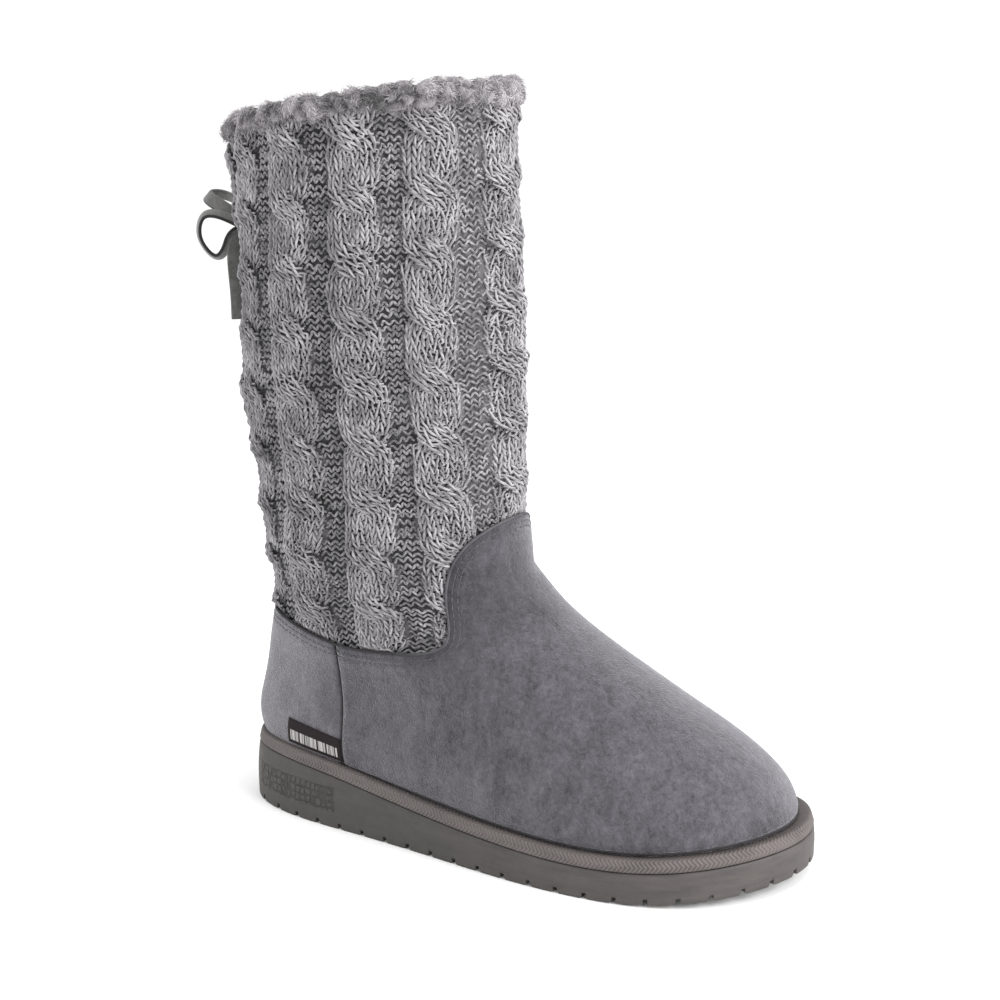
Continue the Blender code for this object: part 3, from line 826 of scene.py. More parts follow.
# Cable knit of the leg. Wales are counted to the left, seen from outside, from the front centre.
knit = {
    "row": (3.17, 2.62),      # height of a row: cable, channel
    "wale": 3.6,              # width of a stitch
    "yarn": 0.60,             # radius
    "cableStitches": 6,
    "purlStitches": 3,
    "cableShare": 0.352,      # half a cable's share of the width from cable to cable
    "crossEvery": 8,          # rows from one crossing to the next
    "firstCrossing": 2.4,     # rows below the topline
    "crossSpan": 2.3,         # rows over which half a cable swings to the middle
    "samples": 8,             # points of yarn in a stitch
    "loopWidth": (0.30, 0.0),     # a loop opens this far beyond its legs: cable, channel
    "loopHeight": (0.90, 0.27),   # half a loop's height, in cable rows
    "loopDepth": (0.60, 0.16),    # half the depth from legs to heads
    "plump": (1.0, 0.98),         # the yarn's own thickness there
    "uneven": (0.86, 1.14),       # spread of the yarn's thickness from row to row
    "jitter": ((0.10, 0.10, 0.20), (0.12, 0.11, 0.26)),    # of a stitch: across, up, out
    "drift": (0.9, 0.0022),       # slow drift of the stitches: mm down, turns round
    "channelDepth": -3.7,     # purl stitches lie this far under the boot's face
    "channelSpread": 0.10,    # the channel is wider at a crossing
    "cableBase": -2.9,
    "dome": 1.2,              # rise to the middle of the cable
    "bulge": 0.7,             # rise to the middle of each half
    "over": 1.9,
    "under": -1.7,
    "crossLong": 1.5,         # rows over which the upper half rises and the lower one dips
    "widen": 0.30,            # how much wider half a cable is where it leans across
    "edgeLift": -2.9,         # the last rows lie this low, under the suede
    "edgeKept": -1.4,         # mm beyond the suede's edge where the yarn ends
    "edgeDive": (0.2, 3.4),   # it dives over these mm from the edge
    "shade": (0.9, 3.6),      # the shade between the stitches: start and span, in mm of depth
    "down": 245.0,            # rows are laid this far down from the topline
    "frontShift": 0.030,
    "backSeam": 375.0,        # girth for the distance from the seam at the back
    # the chart's first and last mm below the topline and its step; its reach in cables to
    # each side, and its columns in a cable
    "chartRows": (-20, 250, 5.0),
    "chartCables": 7,
    "chartColumns": 8,
    "light": ((0.235, 0.226, 0.235), (0.420, 0.405, 0.418)),    # the yarn's paler ply
    "dark": ((0.082, 0.078, 0.083), (0.175, 0.167, 0.175)),
    "fuzz": (0.30, 0.29, 0.305),
    "patches": (0.075, 0.070, 0.076),
    # colour of the painted shade between the stitches
    "paintedShade": (0.055, 0.052, 0.057),    # between the stitches
    # mm below the topline, turn of each channel from the front round to the back
    "channels": [
        (-20, 0.047, 0.1425, 0.2245, 0.297, 0.372, 0.452, 0.530),
        (0, 0.047, 0.1425, 0.2245, 0.297, 0.372, 0.452, 0.530),
        (35, 0.048, 0.143, 0.2225, 0.298, 0.374, 0.455, 0.535),
        (65, 0.057, 0.148, 0.2295, 0.306, 0.383, 0.465, 0.545),
        (100, 0.0635, 0.1505, 0.2315, 0.313, 0.390, 0.473, 0.555),
        (135, 0.0565, 0.150, 0.2305, 0.319, 0.400, 0.487, 0.570),
        (170, 0.053, 0.156, 0.244, 0.345, 0.433, 0.525, 0.615),
        (190, 0.050, 0.163, 0.258, 0.372, 0.465, 0.560, 0.650),
        (210, 0.050, 0.182, 0.285, 0.402, 0.492, 0.590, 0.690),
        (235, 0.050, 0.225, 0.317, 0.435, 0.520, 0.610, 0.700),
    ],
}
# amplitude, slope and phase of the waves that the fabric drifts in, down and round
fabricWaves = np.random.default_rng(11).uniform(0, 1, (2, 14, 3))


def fabricDrift(turn, below, which):
    # hand knit never lies quite even: slow drift of the stitches round and down the leg
    total = 0
    for number, (size, slope, phase) in enumerate(fabricWaves[which]):
        swing = (number - 7) * 2 * turn + (0.6 + 3.4 * slope) * below / 100 + phase
        total = total + np.sin(2 * math.pi * swing) * (0.4 + size)
    return total / 7


def fabricChart():
    # turn of every eighth of a cable's width, every 5 mm down the leg; the inner side mirrors
    # the outer but for the front cable, which reaches a little further round
    rows = np.array(knit["channels"])
    turns = smoothCurve(rows[:, 0], rows[:, 1:])(np.arange(*knit["chartRows"]))
    channels = np.arange(rows.shape[1] - 1) + 0.5
    inner = -turns - knit["frontShift"] * np.clip(1 - turns / 0.45, 0, 1)
    across = smoothCurve(np.concatenate([-channels[::-1], channels]),
                         np.hstack([inner[:, ::-1], turns]).T)
    reach = knit["chartCables"]
    return across(np.arange(-reach, reach + 0.01, 1 / knit["chartColumns"])).T


fabricTable = fabricChart()


def fabricTurn(unit, below):
    start, _, step = knit["chartRows"]
    reach = knit["chartCables"]
    column = (np.clip(unit, -reach, reach - 0.1) + reach) * knit["chartColumns"]
    return bilinear(fabricTable, np.asarray(below) / step - start / step, column)


def halfCable(above, side):
    # middle of half a cable, in stitches from the cable's middle, its rise and its lean,
    # at a number of rows above the crossing below; side is 1 on the left
    period, span = knit["crossEvery"], knit["crossSpan"]
    nearest = np.where(above < period / 2, above, period - above)
    swing = np.clip(nearest / span, -1, 1)
    middle = side * 1.5 * (1.35 * swing - 0.35 * swing ** 3)
    slope = side * 1.5 * np.where(np.abs(nearest) < span, 1.35 - 1.05 * swing ** 2, 0) / span
    slope = slope * np.where(above < period / 2, 1, -1)
    overHere = bell(np.where(side > 0, above, above - period), knit["crossLong"])
    underHere = bell(np.where(side > 0, above - period, above), knit["crossLong"])
    rise = knit["over"] * overHere + knit["under"] * underHere
    return middle, rise, np.arctan(slope * knit["wale"] / knit["row"][0])


def loopLine(stitches, samples, channel):
    # one row's yarn through a few stitches: place across, up and out, and its thickness
    theta = np.arange(samples * stitches + 1) * 2 * math.pi / samples - math.pi
    across = (theta + math.pi) / (2 * math.pi) - stitches / 2
    across = across + knit["loopWidth"][channel] * np.sin(2 * theta)
    up = knit["loopHeight"][channel] * np.cos(theta)
    out = -knit["loopDepth"][channel] * np.cos(2 * theta) * (-1 if channel else 1)
    thick = knit["plump"][channel] - 0.10 * np.cos(2 * theta)
    return across, up, out, thick


def keptRuns(kept, samples):
    # index ranges of the yarn where neighbouring stitches are kept
    edges = np.flatnonzero(np.diff(np.concatenate([[0], kept.astype(int), [0]])))
    return [(start * samples, end * samples + 1) for start, end in edges.reshape(-1, 2)]


def layStitches(part, unit, down, across, up, out):
    # a few stitches of one row: place in cables round the leg, mm below the topline, lift;
    # down is the row's distance from the topline in cable rows
    period = knit["crossEvery"]
    crossing = knit["firstCrossing"] + period * math.ceil((down - knit["firstCrossing"]) / period)
    above = crossing - down + up
    below = (down - up) * knit["row"][0]
    if part == "channel":
        nearest = np.minimum(np.abs(above), np.abs(above - period))
        width = 1 - 2 * knit["cableShare"] + knit["channelSpread"] * bell(nearest, 1.4)
        place = unit + 0.5 - across / knit["purlStitches"] * width
        return place, below, knit["channelDepth"] + out
    middle, rise, lean = halfCable(above, 1 if part == "left" else -1)
    wide = across * (1 + knit["widen"] * np.sin(lean) ** 2)
    place = unit + (middle - wide) * knit["cableShare"] * 2 / knit["cableStitches"]
    below = below - across * np.sin(0.5 * lean) * knit["wale"]
    dome = knit["dome"] * np.clip(1 - ((place - unit) / knit["cableShare"]) ** 2, 0, 1)
    bulge = knit["bulge"] * np.clip(1 - (across / 1.5) ** 2, 0, 1)
    return place, below, knit["cableBase"] + dome + bulge + rise + out


def knitRoutes(firstUnit, lastUnit, random):
    routes, radii, shades = [], [], []
    samples = knit["samples"]
    diveFrom, diveSpan = knit["edgeDive"]
    shadeFrom, shadeSpan = knit["shade"]
    for part in ("left", "right", "channel"):
        channel = part == "channel"
        height = knit["row"][channel]
        stitches = knit["purlStitches"] if channel else knit["cableStitches"] // 2
        across, up, out, thick = loopLine(stitches, samples, channel)
        ticks = np.linspace(-0.5, stitches + 0.5, stitches + 2)
        along = np.arange(len(up)) / samples
        centre = np.arange(stitches) * samples + samples // 2
        for row in range(-1, int(knit["down"] / height)):
            for unit in range(firstUnit, lastUnit + 1):
                shakes = zip(random.normal(0, 1, (3, stitches + 2)), knit["jitter"][channel])
                shake = [np.interp(along, ticks, amount) * size for amount, size in shakes]
                place, below, lift = layStitches(part, unit, (row + 0.5) * height / knit["row"][0],
                                                 across + shake[0], up + shake[1], out + shake[2])
                turn = fabricTurn(place, below)
                below = below + knit["drift"][0] * fabricDrift(turn, below, 0)
                turn = turn + knit["drift"][1] * fabricDrift(turn, below, 1)
                level = leg.levelBelow(turn, below)
                # mm from the suede and from the seam at the back
                backGap = (0.5 - np.abs(turn)) * knit["backSeam"] - 0.6
                gap = np.minimum(leg.gap(turn, level), backGap)
                kept = gap[centre] > knit["edgeKept"]
                if not kept.any():
                    continue
                dive = np.clip(1 - (gap - diveFrom) / diveSpan, 0, 1)
                dive = dive * dive * (3 - 2 * dive)
                lift = lift * (1 - dive) + (knit["edgeLift"] + 0.4 * out) * dive
                points = toMetres(leg.place(turn, level, lift))
                full = thick * random.uniform(*knit["uneven"])
                # painted shade: the deeper the yarn lies, the darker it is painted
                shade = np.clip((lift - knit["channelDepth"] + shadeFrom) / shadeSpan, 0, 1)
                for first, last in keptRuns(kept, samples):
                    routes.append(points[first:last])
                    radii.append(full[first:last])
                    shades.append(shade[first:last])
    return routes, radii, shades


def yarnMaterial():
    material, tree = newMaterial("marled_wool", 0.85, Sheen_Weight=0.3, Sheen_Roughness=0.5)
    place, marks = coordinates(tree)
    along, around, _ = split(tree, marks)
    twist = weighted(tree, (along, 7.0), (around, 1), (noiseNode(tree, place, 90.0, 2.0), 2.0))
    wool = placeGroup(tree, looseWool, place)
    light, dark = (mixColours(tree, wool["Heather"], *knit[key]) for key in ("light", "dark"))
    # the two plies of the yarn, and stretches where one of them shows more
    more = remap(tree, noiseNode(tree, place, 65.0, 2.0, 0.6), 0.3, 0.7, -0.75, 0.75)
    ply = weighted(tree, (wave(tree, twist, 2 * math.pi), 1), (more, 1))
    colour = mixColours(tree, remap(tree, ply, -0.85, 0.45), dark, light)
    colour = mixColours(tree, remap(tree, wool["Fuzz"], 0.3, 0.7, 0.0, 0.35), colour, knit["fuzz"])
    # darker stretches of the marled yarn lie together over a few rows
    patch = noiseNode(tree, stretched(tree, place, (1, 1, 0.6)), 75.0, 4.0, 0.62)
    colour = mixColours(tree, remap(tree, patch, 0.44, 0.64, 0.0, 0.50), colour, knit["patches"])
    # painted shade between the stitches: deeper yarn is darker, more in some places than others
    paintedShade = remap(tree, noiseNode(tree, place, 130.0, 3.0, 0.6), 0.35, 0.65, -0.42, 0.42)
    raised = weighted(tree, (depthMark(tree), 1), (paintedShade, 1))
    colour = mixColours(tree, remap(tree, raised, -0.18, 0.68, 0.32, 1.0), knit["paintedShade"], colour)
    relief = weighted(tree, (ply, 0.5), (wool["Fuzz"], 1))
    return dress(material, Base_Color=colour, Normal=bumpNode(tree, relief, 0.00022, 0.8))


woolYarn = yarnMaterial()


def buildKnit():
    random = np.random.default_rng(7)
    for name, first, last in (("knit_outer_front", 0, 2), ("knit_outer_back", 3, 6),
                              ("knit_inner_front", -3, -1), ("knit_inner_back", -7, -4)):
        routes, radii, shades = knitRoutes(first, last, random)
        piece = strandPiece(name, routes, knit["yarn"] * 0.001, 0, radii)
        keepDepth(piece, np.concatenate(shades))
        finishPiece(piece, woolYarn, "knit", "shaft")
        print(name, len(routes), "runs of yarn,", len(piece.data.polygons) * 2, "triangles")


buildKnit()

# Web of floats behind the stitches, painted dark for the shade there, and the fleece that lines foot and
# leg.
lining = {
    "webLift": -4.8,
    "webUnder": 1.5,         # how far it keeps under the yarn of a cable
    "webDown": (238, -3, -2.2),    # mm below the topline: its foot, its top and the step
    "webTuck": 5.0,          # it ends this far under the suede's edge
    "webHalf": 1.9,          # half the width of its rise behind half a cable, in stitches
    "webFade": 5,            # mm over which the rise dies away at the edges
    "fleeceLift": -5.4,
    "fleeceThick": 1.0,
    "fleeceGrid": (75, 141),
    "lumps": 0.9,
    "lumpScale": 130.0,
    # painted shade: the web is coloured near black for the shade behind the stitches; painted light:
    # paler at the front
    "webShadeColours": ((0.024, 0.023, 0.024), (0.085, 0.081, 0.086)),
    "webLitFront": ((0.055, 0.053, 0.056), (0.170, 0.164, 0.172)),
    "fleeceColours": ((0.17, 0.16, 0.17), (0.50, 0.47, 0.49)),
}


def lumpy(points, scale, amount):
    # soft wool lumps, as an offset in mm for each place
    places = (toMetres(points).reshape(-1, 3) * scale).tolist()
    lumps = np.array([noise.fractal(Vector(place), 1.0, 2.2, 2) for place in places])
    return lumps.reshape(points.shape[:-1]) * amount


def behindCables(place, below):
    # how far the web rises behind the two halves of each cable
    period = knit["crossEvery"]
    above = (knit["firstCrossing"] - below / knit["row"][0]) % period
    off = place - np.rint(place)
    rises = []
    for side in (1, -1):
        middle, rise, _ = halfCable(above, side)
        aside = (off * knit["cableStitches"] / 2 / knit["cableShare"] - middle) / lining["webHalf"]
        lift = knit["cableBase"] + knit["dome"] + knit["bulge"] + rise - lining["webUnder"]
        rises.append((lift - lining["webLift"]) * np.sqrt(np.clip(1 - aside ** 4, 0, 1)))
    return np.maximum(0, np.maximum(*rises))


def webMaterial():
    material, tree = newMaterial("knit_web", 0.95)
    place, _ = coordinates(tree)
    wool = placeGroup(tree, looseWool, place, Curl=420.0)
    web, pale = (mixColours(tree, wool["Heather"], *lining[key]) for key in ("webShadeColours", "webLitFront"))
    # painted light: paler down the front of the leg, where the light falls
    front = remap(tree, split(tree, place)[0], -0.030, 0.0)
    return dress(material, Base_Color=mixColours(tree, front, web, pale),
                 Normal=bumpNode(tree, wool["Fuzz"], 0.0008, 0.8))


def fleeceMaterial(name, deep, bright, shadeCreases=False):
    material, tree = newMaterial(name, 0.95, Sheen_Weight=0.4, Sheen_Roughness=0.6)
    place, marks = coordinates(tree)
    wool = placeGroup(tree, looseWool, place, Curl=210.0, Fibres=1200.0)
    curled = noiseNode(tree, place, 420.0, 3.0, 0.65, 1.6)
    tone = weighted(tree, (curled, 0.6), (wool["Heather"], 0.4))
    colour = mixColours(tree, tone, deep, bright)
    if shadeCreases:
        # painted shade: dark where the pile lies low, in the creases
        low = remap(tree, split(tree, marks)[1], -0.15, 0.55)
        colour = mixColours(tree, low, darker(deep, 0.22), colour)
    relief = weighted(tree, (curled, 1), (wool["Fuzz"], 0.35))
    return dress(material, Base_Color=colour, Normal=bumpNode(tree, relief, 0.0022, 0.9))


liningFleece = fleeceMaterial("lining_fleece", *lining["fleeceColours"])


def buildLining():
    turns, below = np.meshgrid(np.linspace(0.5, -0.5, 261), np.arange(*lining["webDown"]))
    reach = knit["chartCables"]
    units = np.arange(-reach, reach, 0.05)
    behind = np.array([np.interp(row, fabricTurn(units, np.full(len(units), depth)), units)
                       for row, depth in zip(turns, below[:, 0])])
    levels = np.maximum(leg.levelBelow(turns, below), leg.seamAt(turns) - lining["webTuck"])
    backGap = (0.5 - np.abs(turns)) * knit["backSeam"] - 3
    edge = np.clip(np.minimum(leg.gap(turns, levels) - 2, backGap) / lining["webFade"], 0, 1)
    lift = lining["webLift"] + behindCables(behind, below) * edge
    web = sheetPiece("knit_web", leg.place(turns, levels, lift))
    finishPiece(web, webMaterial(), "knit", "shaft")
    rows, columns = lining["fleeceGrid"]
    turns, levels = np.meshgrid(np.linspace(1, 0, columns), np.linspace(1.0, leg.top, rows))
    flat = leg.place(turns, levels, lining["fleeceLift"])
    bumps = np.abs(lumpy(flat, lining["lumpScale"], lining["lumps"]))
    points = leg.place(turns, levels, lining["fleeceLift"] - bumps)
    fleece = sheetPiece("leg_lining", points, thick=lining["fleeceThick"])
    finishPiece(fleece, liningFleece, "fleece", "shaft", "upper")
    print("web and lining")


buildLining()

# Suede of foot and heel: vamp in front, counter behind, joined at a seam on each side.
suede = {
    "thick": 1.5,
    "stand": 0.25,               # stands this far off the boot's face
    "foot": -0.6,                # level of its foot, in the strip round the sole
    "edgeRoll": 0.75,            # the edge at the knit rolls in
    "footTuck": 1.1,             # drawn in where it meets the sole
    "sideSeam": (0.362, 0.331),  # turn at the sole and at the knit
    "sideBow": 0.0034,           # how far it bows to the heel halfway up, in turns
    "seamDip": 1.0,              # the panels' edges dip into the side seams
    "stitchRows": (2.3, 4.7),    # mm from the knit
    "stitch": 2.3,
    "stitchPitch": 3.1,
    "thread": 0.26,              # radius
    "threadRise": (0.25, 0.42),  # a stitch sinks in at its ends and stands up between them
    "grooves": 0.35,             # depth along a row of stitching
    "fade": {"edge": 1.3, "foot": 2.0, "groove": 0.8, "seam": 1.1},    # mm that each dies away over
    "crowding": 1.35,            # rows of the panels lie closer together towards the knit
    "piping": (0.65, 0.45, -0.7),    # radius, how far over the suede's edge, lift
    "sideShadeLine": (0.34, 0.5),   # radius, how deep it is sunk
    "footLine": (0.7, 0.35, 0.15),    # radius, level, how far it stands out
    # painted shade at darker places: turn, level, radius in mm, depth of the shade
    "vampPaintedShades": [(0.045, 124, 36, 0.34), (0.12, 106, 28, 0.26), (0.178, 93, 20, 0.2)],
    "counterPaintedShades": [(0.350, 46, 20, 0.42), (0.362, 26, 16, 0.35)],
    # how dark the painted shade goes, as a share of the deep nap
    "dark": 0.55,
    # colour of the deep nap and of the bright nap
    "vampColours": ((0.018, 0.017, 0.020), (0.150, 0.143, 0.162)),
    "counterColours": ((0.048, 0.046, 0.051), (0.220, 0.210, 0.230)),
    "pipingHeel": ((0.010, 0.009, 0.010), (0.035, 0.033, 0.037)),
    "pipingInstep": ((0.028, 0.027, 0.030), (0.105, 0.101, 0.112)),
    "threadColours": ((0.035, 0.033, 0.037), (0.085, 0.082, 0.090)),
}


def suedeLift(level, gap):
    fade = suede["fade"]
    roll, foot = bell(np.minimum(gap, 0), fade["edge"]), bell(level, fade["foot"])
    grooves = sum(bell(gap + row, fade["groove"]) for row in suede["stitchRows"])
    drawnIn = suede["edgeRoll"] * roll + suede["footTuck"] * foot + suede["grooves"] * grooves
    return suede["stand"] - drawnIn


def suedeLevel(turns, share):
    # level at a share of the way from the suede's foot to the knit
    return suede["foot"] + (leg.seamAt(turns) - suede["foot"]) * share


def sideSeamTurn(share):
    low, high = suede["sideSeam"]
    return low + (high - low) * share + 4 * suede["sideBow"] * share * (1 - share)


def suedePanel(name, startAt, endAt, columns, rows, material):
    # a panel from the sole up to the knit; startAt and endAt give the turn of its two edges
    # by share of height
    share = (1 - (1 - np.linspace(0, 1, rows)) ** suede["crowding"])[:, None]
    turns = startAt(share) + (endAt(share) - startAt(share)) * np.linspace(0, 1, columns)[None]
    levels = suedeLevel(turns, share)
    gap = leg.gap(turns, levels)
    lift = suedeLift(levels, gap)
    girth = np.linalg.norm(np.diff(leg.place(turns, levels), axis=1), axis=2)
    fromStart = np.concatenate([np.zeros((rows, 1)), np.cumsum(girth, axis=1)], axis=1)
    for away in (fromStart, fromStart[:, -1:] - fromStart):
        lift = lift - suede["seamDip"] * bell(away, suede["fade"]["seam"])
    along = bilinear(leg.alongTable, levels / leg.step / 2, leg.column(turns))
    marks = np.stack([along, gap], axis=2)
    piece = sheetPiece(name, leg.place(turns, levels, lift), marks, thick=suede["thick"])
    return finishPiece(piece, material, "suede", "upper")


def suedeMaterial(name, deep, bright, shades):
    material, tree = newMaterial(name, 0.95, Sheen_Weight=0.9, Sheen_Roughness=0.30,
                                 Sheen_Tint=(0.92, 0.91, 0.95, 1.0), Specular_IOR_Level=0.2)
    place, marks = coordinates(tree)
    nap = placeGroup(tree, suedeNap, place)
    colour = mixColours(tree, nap["Tone"], deep, bright)
    # painted shade: soft dark spots in the hollows
    for turn, level, radius, depth in shades:
        spot = leg.place(np.array([turn]), np.array([float(level)]))[0]
        away = addNode(tree, "ShaderNodeVectorMath", operation="DISTANCE")
        away.inputs[1].default_value = tuple(toMetres(spot))
        tree.links.new(place, away.inputs[0])
        shade = remap(tree, away.outputs["Value"], 0.0, radius * 0.001, depth, 0.0)
        colour = mixColours(tree, shade, colour, darker(deep, suede["dark"]))
    # painted shade: darker along the sewn edge, where it rolls in under the knit
    edge = remap(tree, split(tree, marks)[1], -0.062, -0.010, 0.0, 0.30)
    colour = mixColours(tree, edge, colour, darker(deep, 0.62))
    return dress(material, Base_Color=colour, Normal=bumpNode(tree, nap["Height"], 0.0008, 0.8))


def pipingMaterial():
    # dark suede for the piping, and for the strands that paint the shade in the side seams and at the
    # sole
    material, tree = newMaterial("piping_and_shade_suede", 0.9)
    place, _ = coordinates(tree)
    nap = placeGroup(tree, suedeNap, place, Patches=200.0)
    # nearly black round the heel, grey where the edge climbs to the instep
    black, grey = (mixColours(tree, nap["Tone"], *suede[key]) for key in ("pipingHeel", "pipingInstep"))
    along, _, up = split(tree, place)
    instep = times(tree, remap(tree, along, -0.036, -0.014), remap(tree, up, 0.070, 0.080))
    return dress(material, Base_Color=mixColours(tree, instep, black, grey),
                 Normal=bumpNode(tree, nap["Height"], 0.0004, 0.6))


pipingAndShade = pipingMaterial()


def buildSuede():
    vampSuede = suedeMaterial("vamp_suede", *suede["vampColours"], suede["vampPaintedShades"])
    counterSuede = suedeMaterial("counter_suede", *suede["counterColours"], suede["counterPaintedShades"])
    suedePanel("vamp", sideSeamTurn, lambda share: -sideSeamTurn(share), 281, 54, vampSuede)
    suedePanel("heel_counter", lambda share: 1 - sideSeamTurn(share), sideSeamTurn, 111, 38,
               counterSuede)
    # piping pressed between suede and knit; its dark colour is partly the binding's own and partly
    # painted shade of the gap
    radius, up, lift = suede["piping"]
    turns = np.linspace(0, 1, 560, endpoint=False)
    route = toMetres(leg.place(turns, leg.seamAt(turns) + up, lift))
    piping = strandPiece("seam_piping", [route], radius * 0.001, 1, closed=True)
    finishPiece(piping, pipingAndShade, "suede", "upper")
    # dark strand sunk in the two side seams: painted shade of the groove between the panels
    radius, sunk = suede["sideShadeLine"]
    share = np.linspace(0, 1, 60)
    sides = []
    for side in (1, -1):
        turn = sideSeamTurn(share) * side
        sides.append(toMetres(leg.place(turn, suedeLevel(turn, share), suede["stand"] - sunk)))
    threads = strandPiece("side_seams", sides, radius * 0.001, 1)
    finishPiece(threads, pipingAndShade, "suede", "upper")
    print("suede panels and piping")


def seamOffset(offset, step):
    # a line on the suede at a distance from the knit: turns and levels, evenly spaced in mm
    turns = np.linspace(0, 1, 1441)
    levels = leg.seamAt(turns)
    for _ in range(12):
        levels = levels - (leg.gap(turns, levels) + offset)
    places = leg.place(turns, levels)
    run = runLength(places)
    even = np.arange(0, run[-1], step)
    return np.interp(even, run, turns), np.interp(even, run, levels)


def threadMaterial():
    material, tree = newMaterial("sewing_thread", 0.6)
    place, _ = coordinates(tree)
    wool = placeGroup(tree, looseWool, place, Curl=800.0)
    colour = mixColours(tree, wool["Heather"], *suede["threadColours"])
    return dress(material, Base_Color=colour, Normal=bumpNode(tree, wool["Fuzz"], 0.0002, 0.5))


def buildStitches():
    spacing = 0.4
    perStitch = round(suede["stitchPitch"] / spacing)
    length = round(suede["stitch"] / spacing) + 1
    sink, rise = suede["threadRise"]
    bow = np.sin(np.linspace(0, math.pi, length)) ** 0.6
    lift = suede["stand"] - suede["grooves"] - sink + rise * bow
    routes = []
    for row in suede["stitchRows"]:
        turns, levels = seamOffset(row, spacing)
        for start in range(0, len(turns) - perStitch, perStitch):
            part = slice(start, start + length)
            routes.append(toMetres(leg.place(turns[part], levels[part], lift)))
    threads = strandPiece("seam_stitches", routes, suede["thread"] * 0.001, 1)
    finishPiece(threads, threadMaterial(), "suede", "upper")
    print("stitches", len(routes))


buildSuede()
buildStitches()

label = {
    # turn and level of the corners: low and high at the toe end, low and high at the heel end
    "corners": [(0.3603, 4.0), (0.3578, 14.6), (0.4142, 4.6), (0.4100, 16.6)],
    "thick": 0.8,
    "lift": 1.15,
    "rimDrop": 0.35,
    "size": (34.4, 9.6),
    # the woven stripe, in the label's own marks
    "stripeUp": (0.014, 0.054),
    "stripeAcross": (0.018, 0.326),
    "ground": ((0.006, 0.004, 0.005), (0.020, 0.013, 0.014)),
    "pale": ((0.26, 0.25, 0.25), (0.66, 0.64, 0.64)),
}


def labelMaterial():
    material, tree = newMaterial("woven_label", 0.85, Specular_IOR_Level=0.25)
    _, marks = coordinates(tree)
    across, up, _ = split(tree, marks)
    twill = wave(tree, weighted(tree, (across, 1), (up, 1)), 1500.0)
    weave = weighted(tree, (twill, 0.3), (wave(tree, up, 2600.0), 0.2))
    # plain pale pattern woven in the stripe: upright bars of uneven width
    bars = noiseNode(tree, stretched(tree, marks, (1.0, 0.0, 0.0)), 75.0, 2.0, 0.6)
    stripe = times(tree, within(tree, up, *label["stripeUp"]),
                   within(tree, across, *label["stripeAcross"]), remap(tree, bars, 0.44, 0.52))
    tone = mathNode(tree, "ADD", times(tree, weave, 0.8), 0.5)
    ground, pale = (mixColours(tree, tone, *label[key]) for key in ("ground", "pale"))
    return dress(material, Base_Color=mixColours(tree, stripe, ground, pale),
                 Normal=bumpNode(tree, weave, 0.00025, 0.6))


def buildLabel():
    rows, columns = 12, 30
    length, height = label["size"]
    u, v = np.meshgrid(np.linspace(0, 1, columns), np.linspace(0, 1, rows))
    weights = np.stack([(1 - u) * (1 - v), (1 - u) * v, u * (1 - v), u * v], axis=2)
    turns, levels = np.moveaxis(weights @ np.array(label["corners"]), 2, 0)
    rim = np.minimum(np.minimum(u, 1 - u) * 34, np.minimum(v, 1 - v) * 12)
    points = leg.place(turns, levels, label["lift"] - label["rimDrop"] * bell(rim, 0.9))
    marks = np.stack([u * length, v * height], axis=2)
    # rows run from heel to toe so that the face looks out
    piece = sheetPiece("side_label", points[:, ::-1], marks[:, ::-1], thick=label["thick"])
    finishPiece(piece, labelMaterial(), "suede", "upper")
    print("label")


buildLabel()

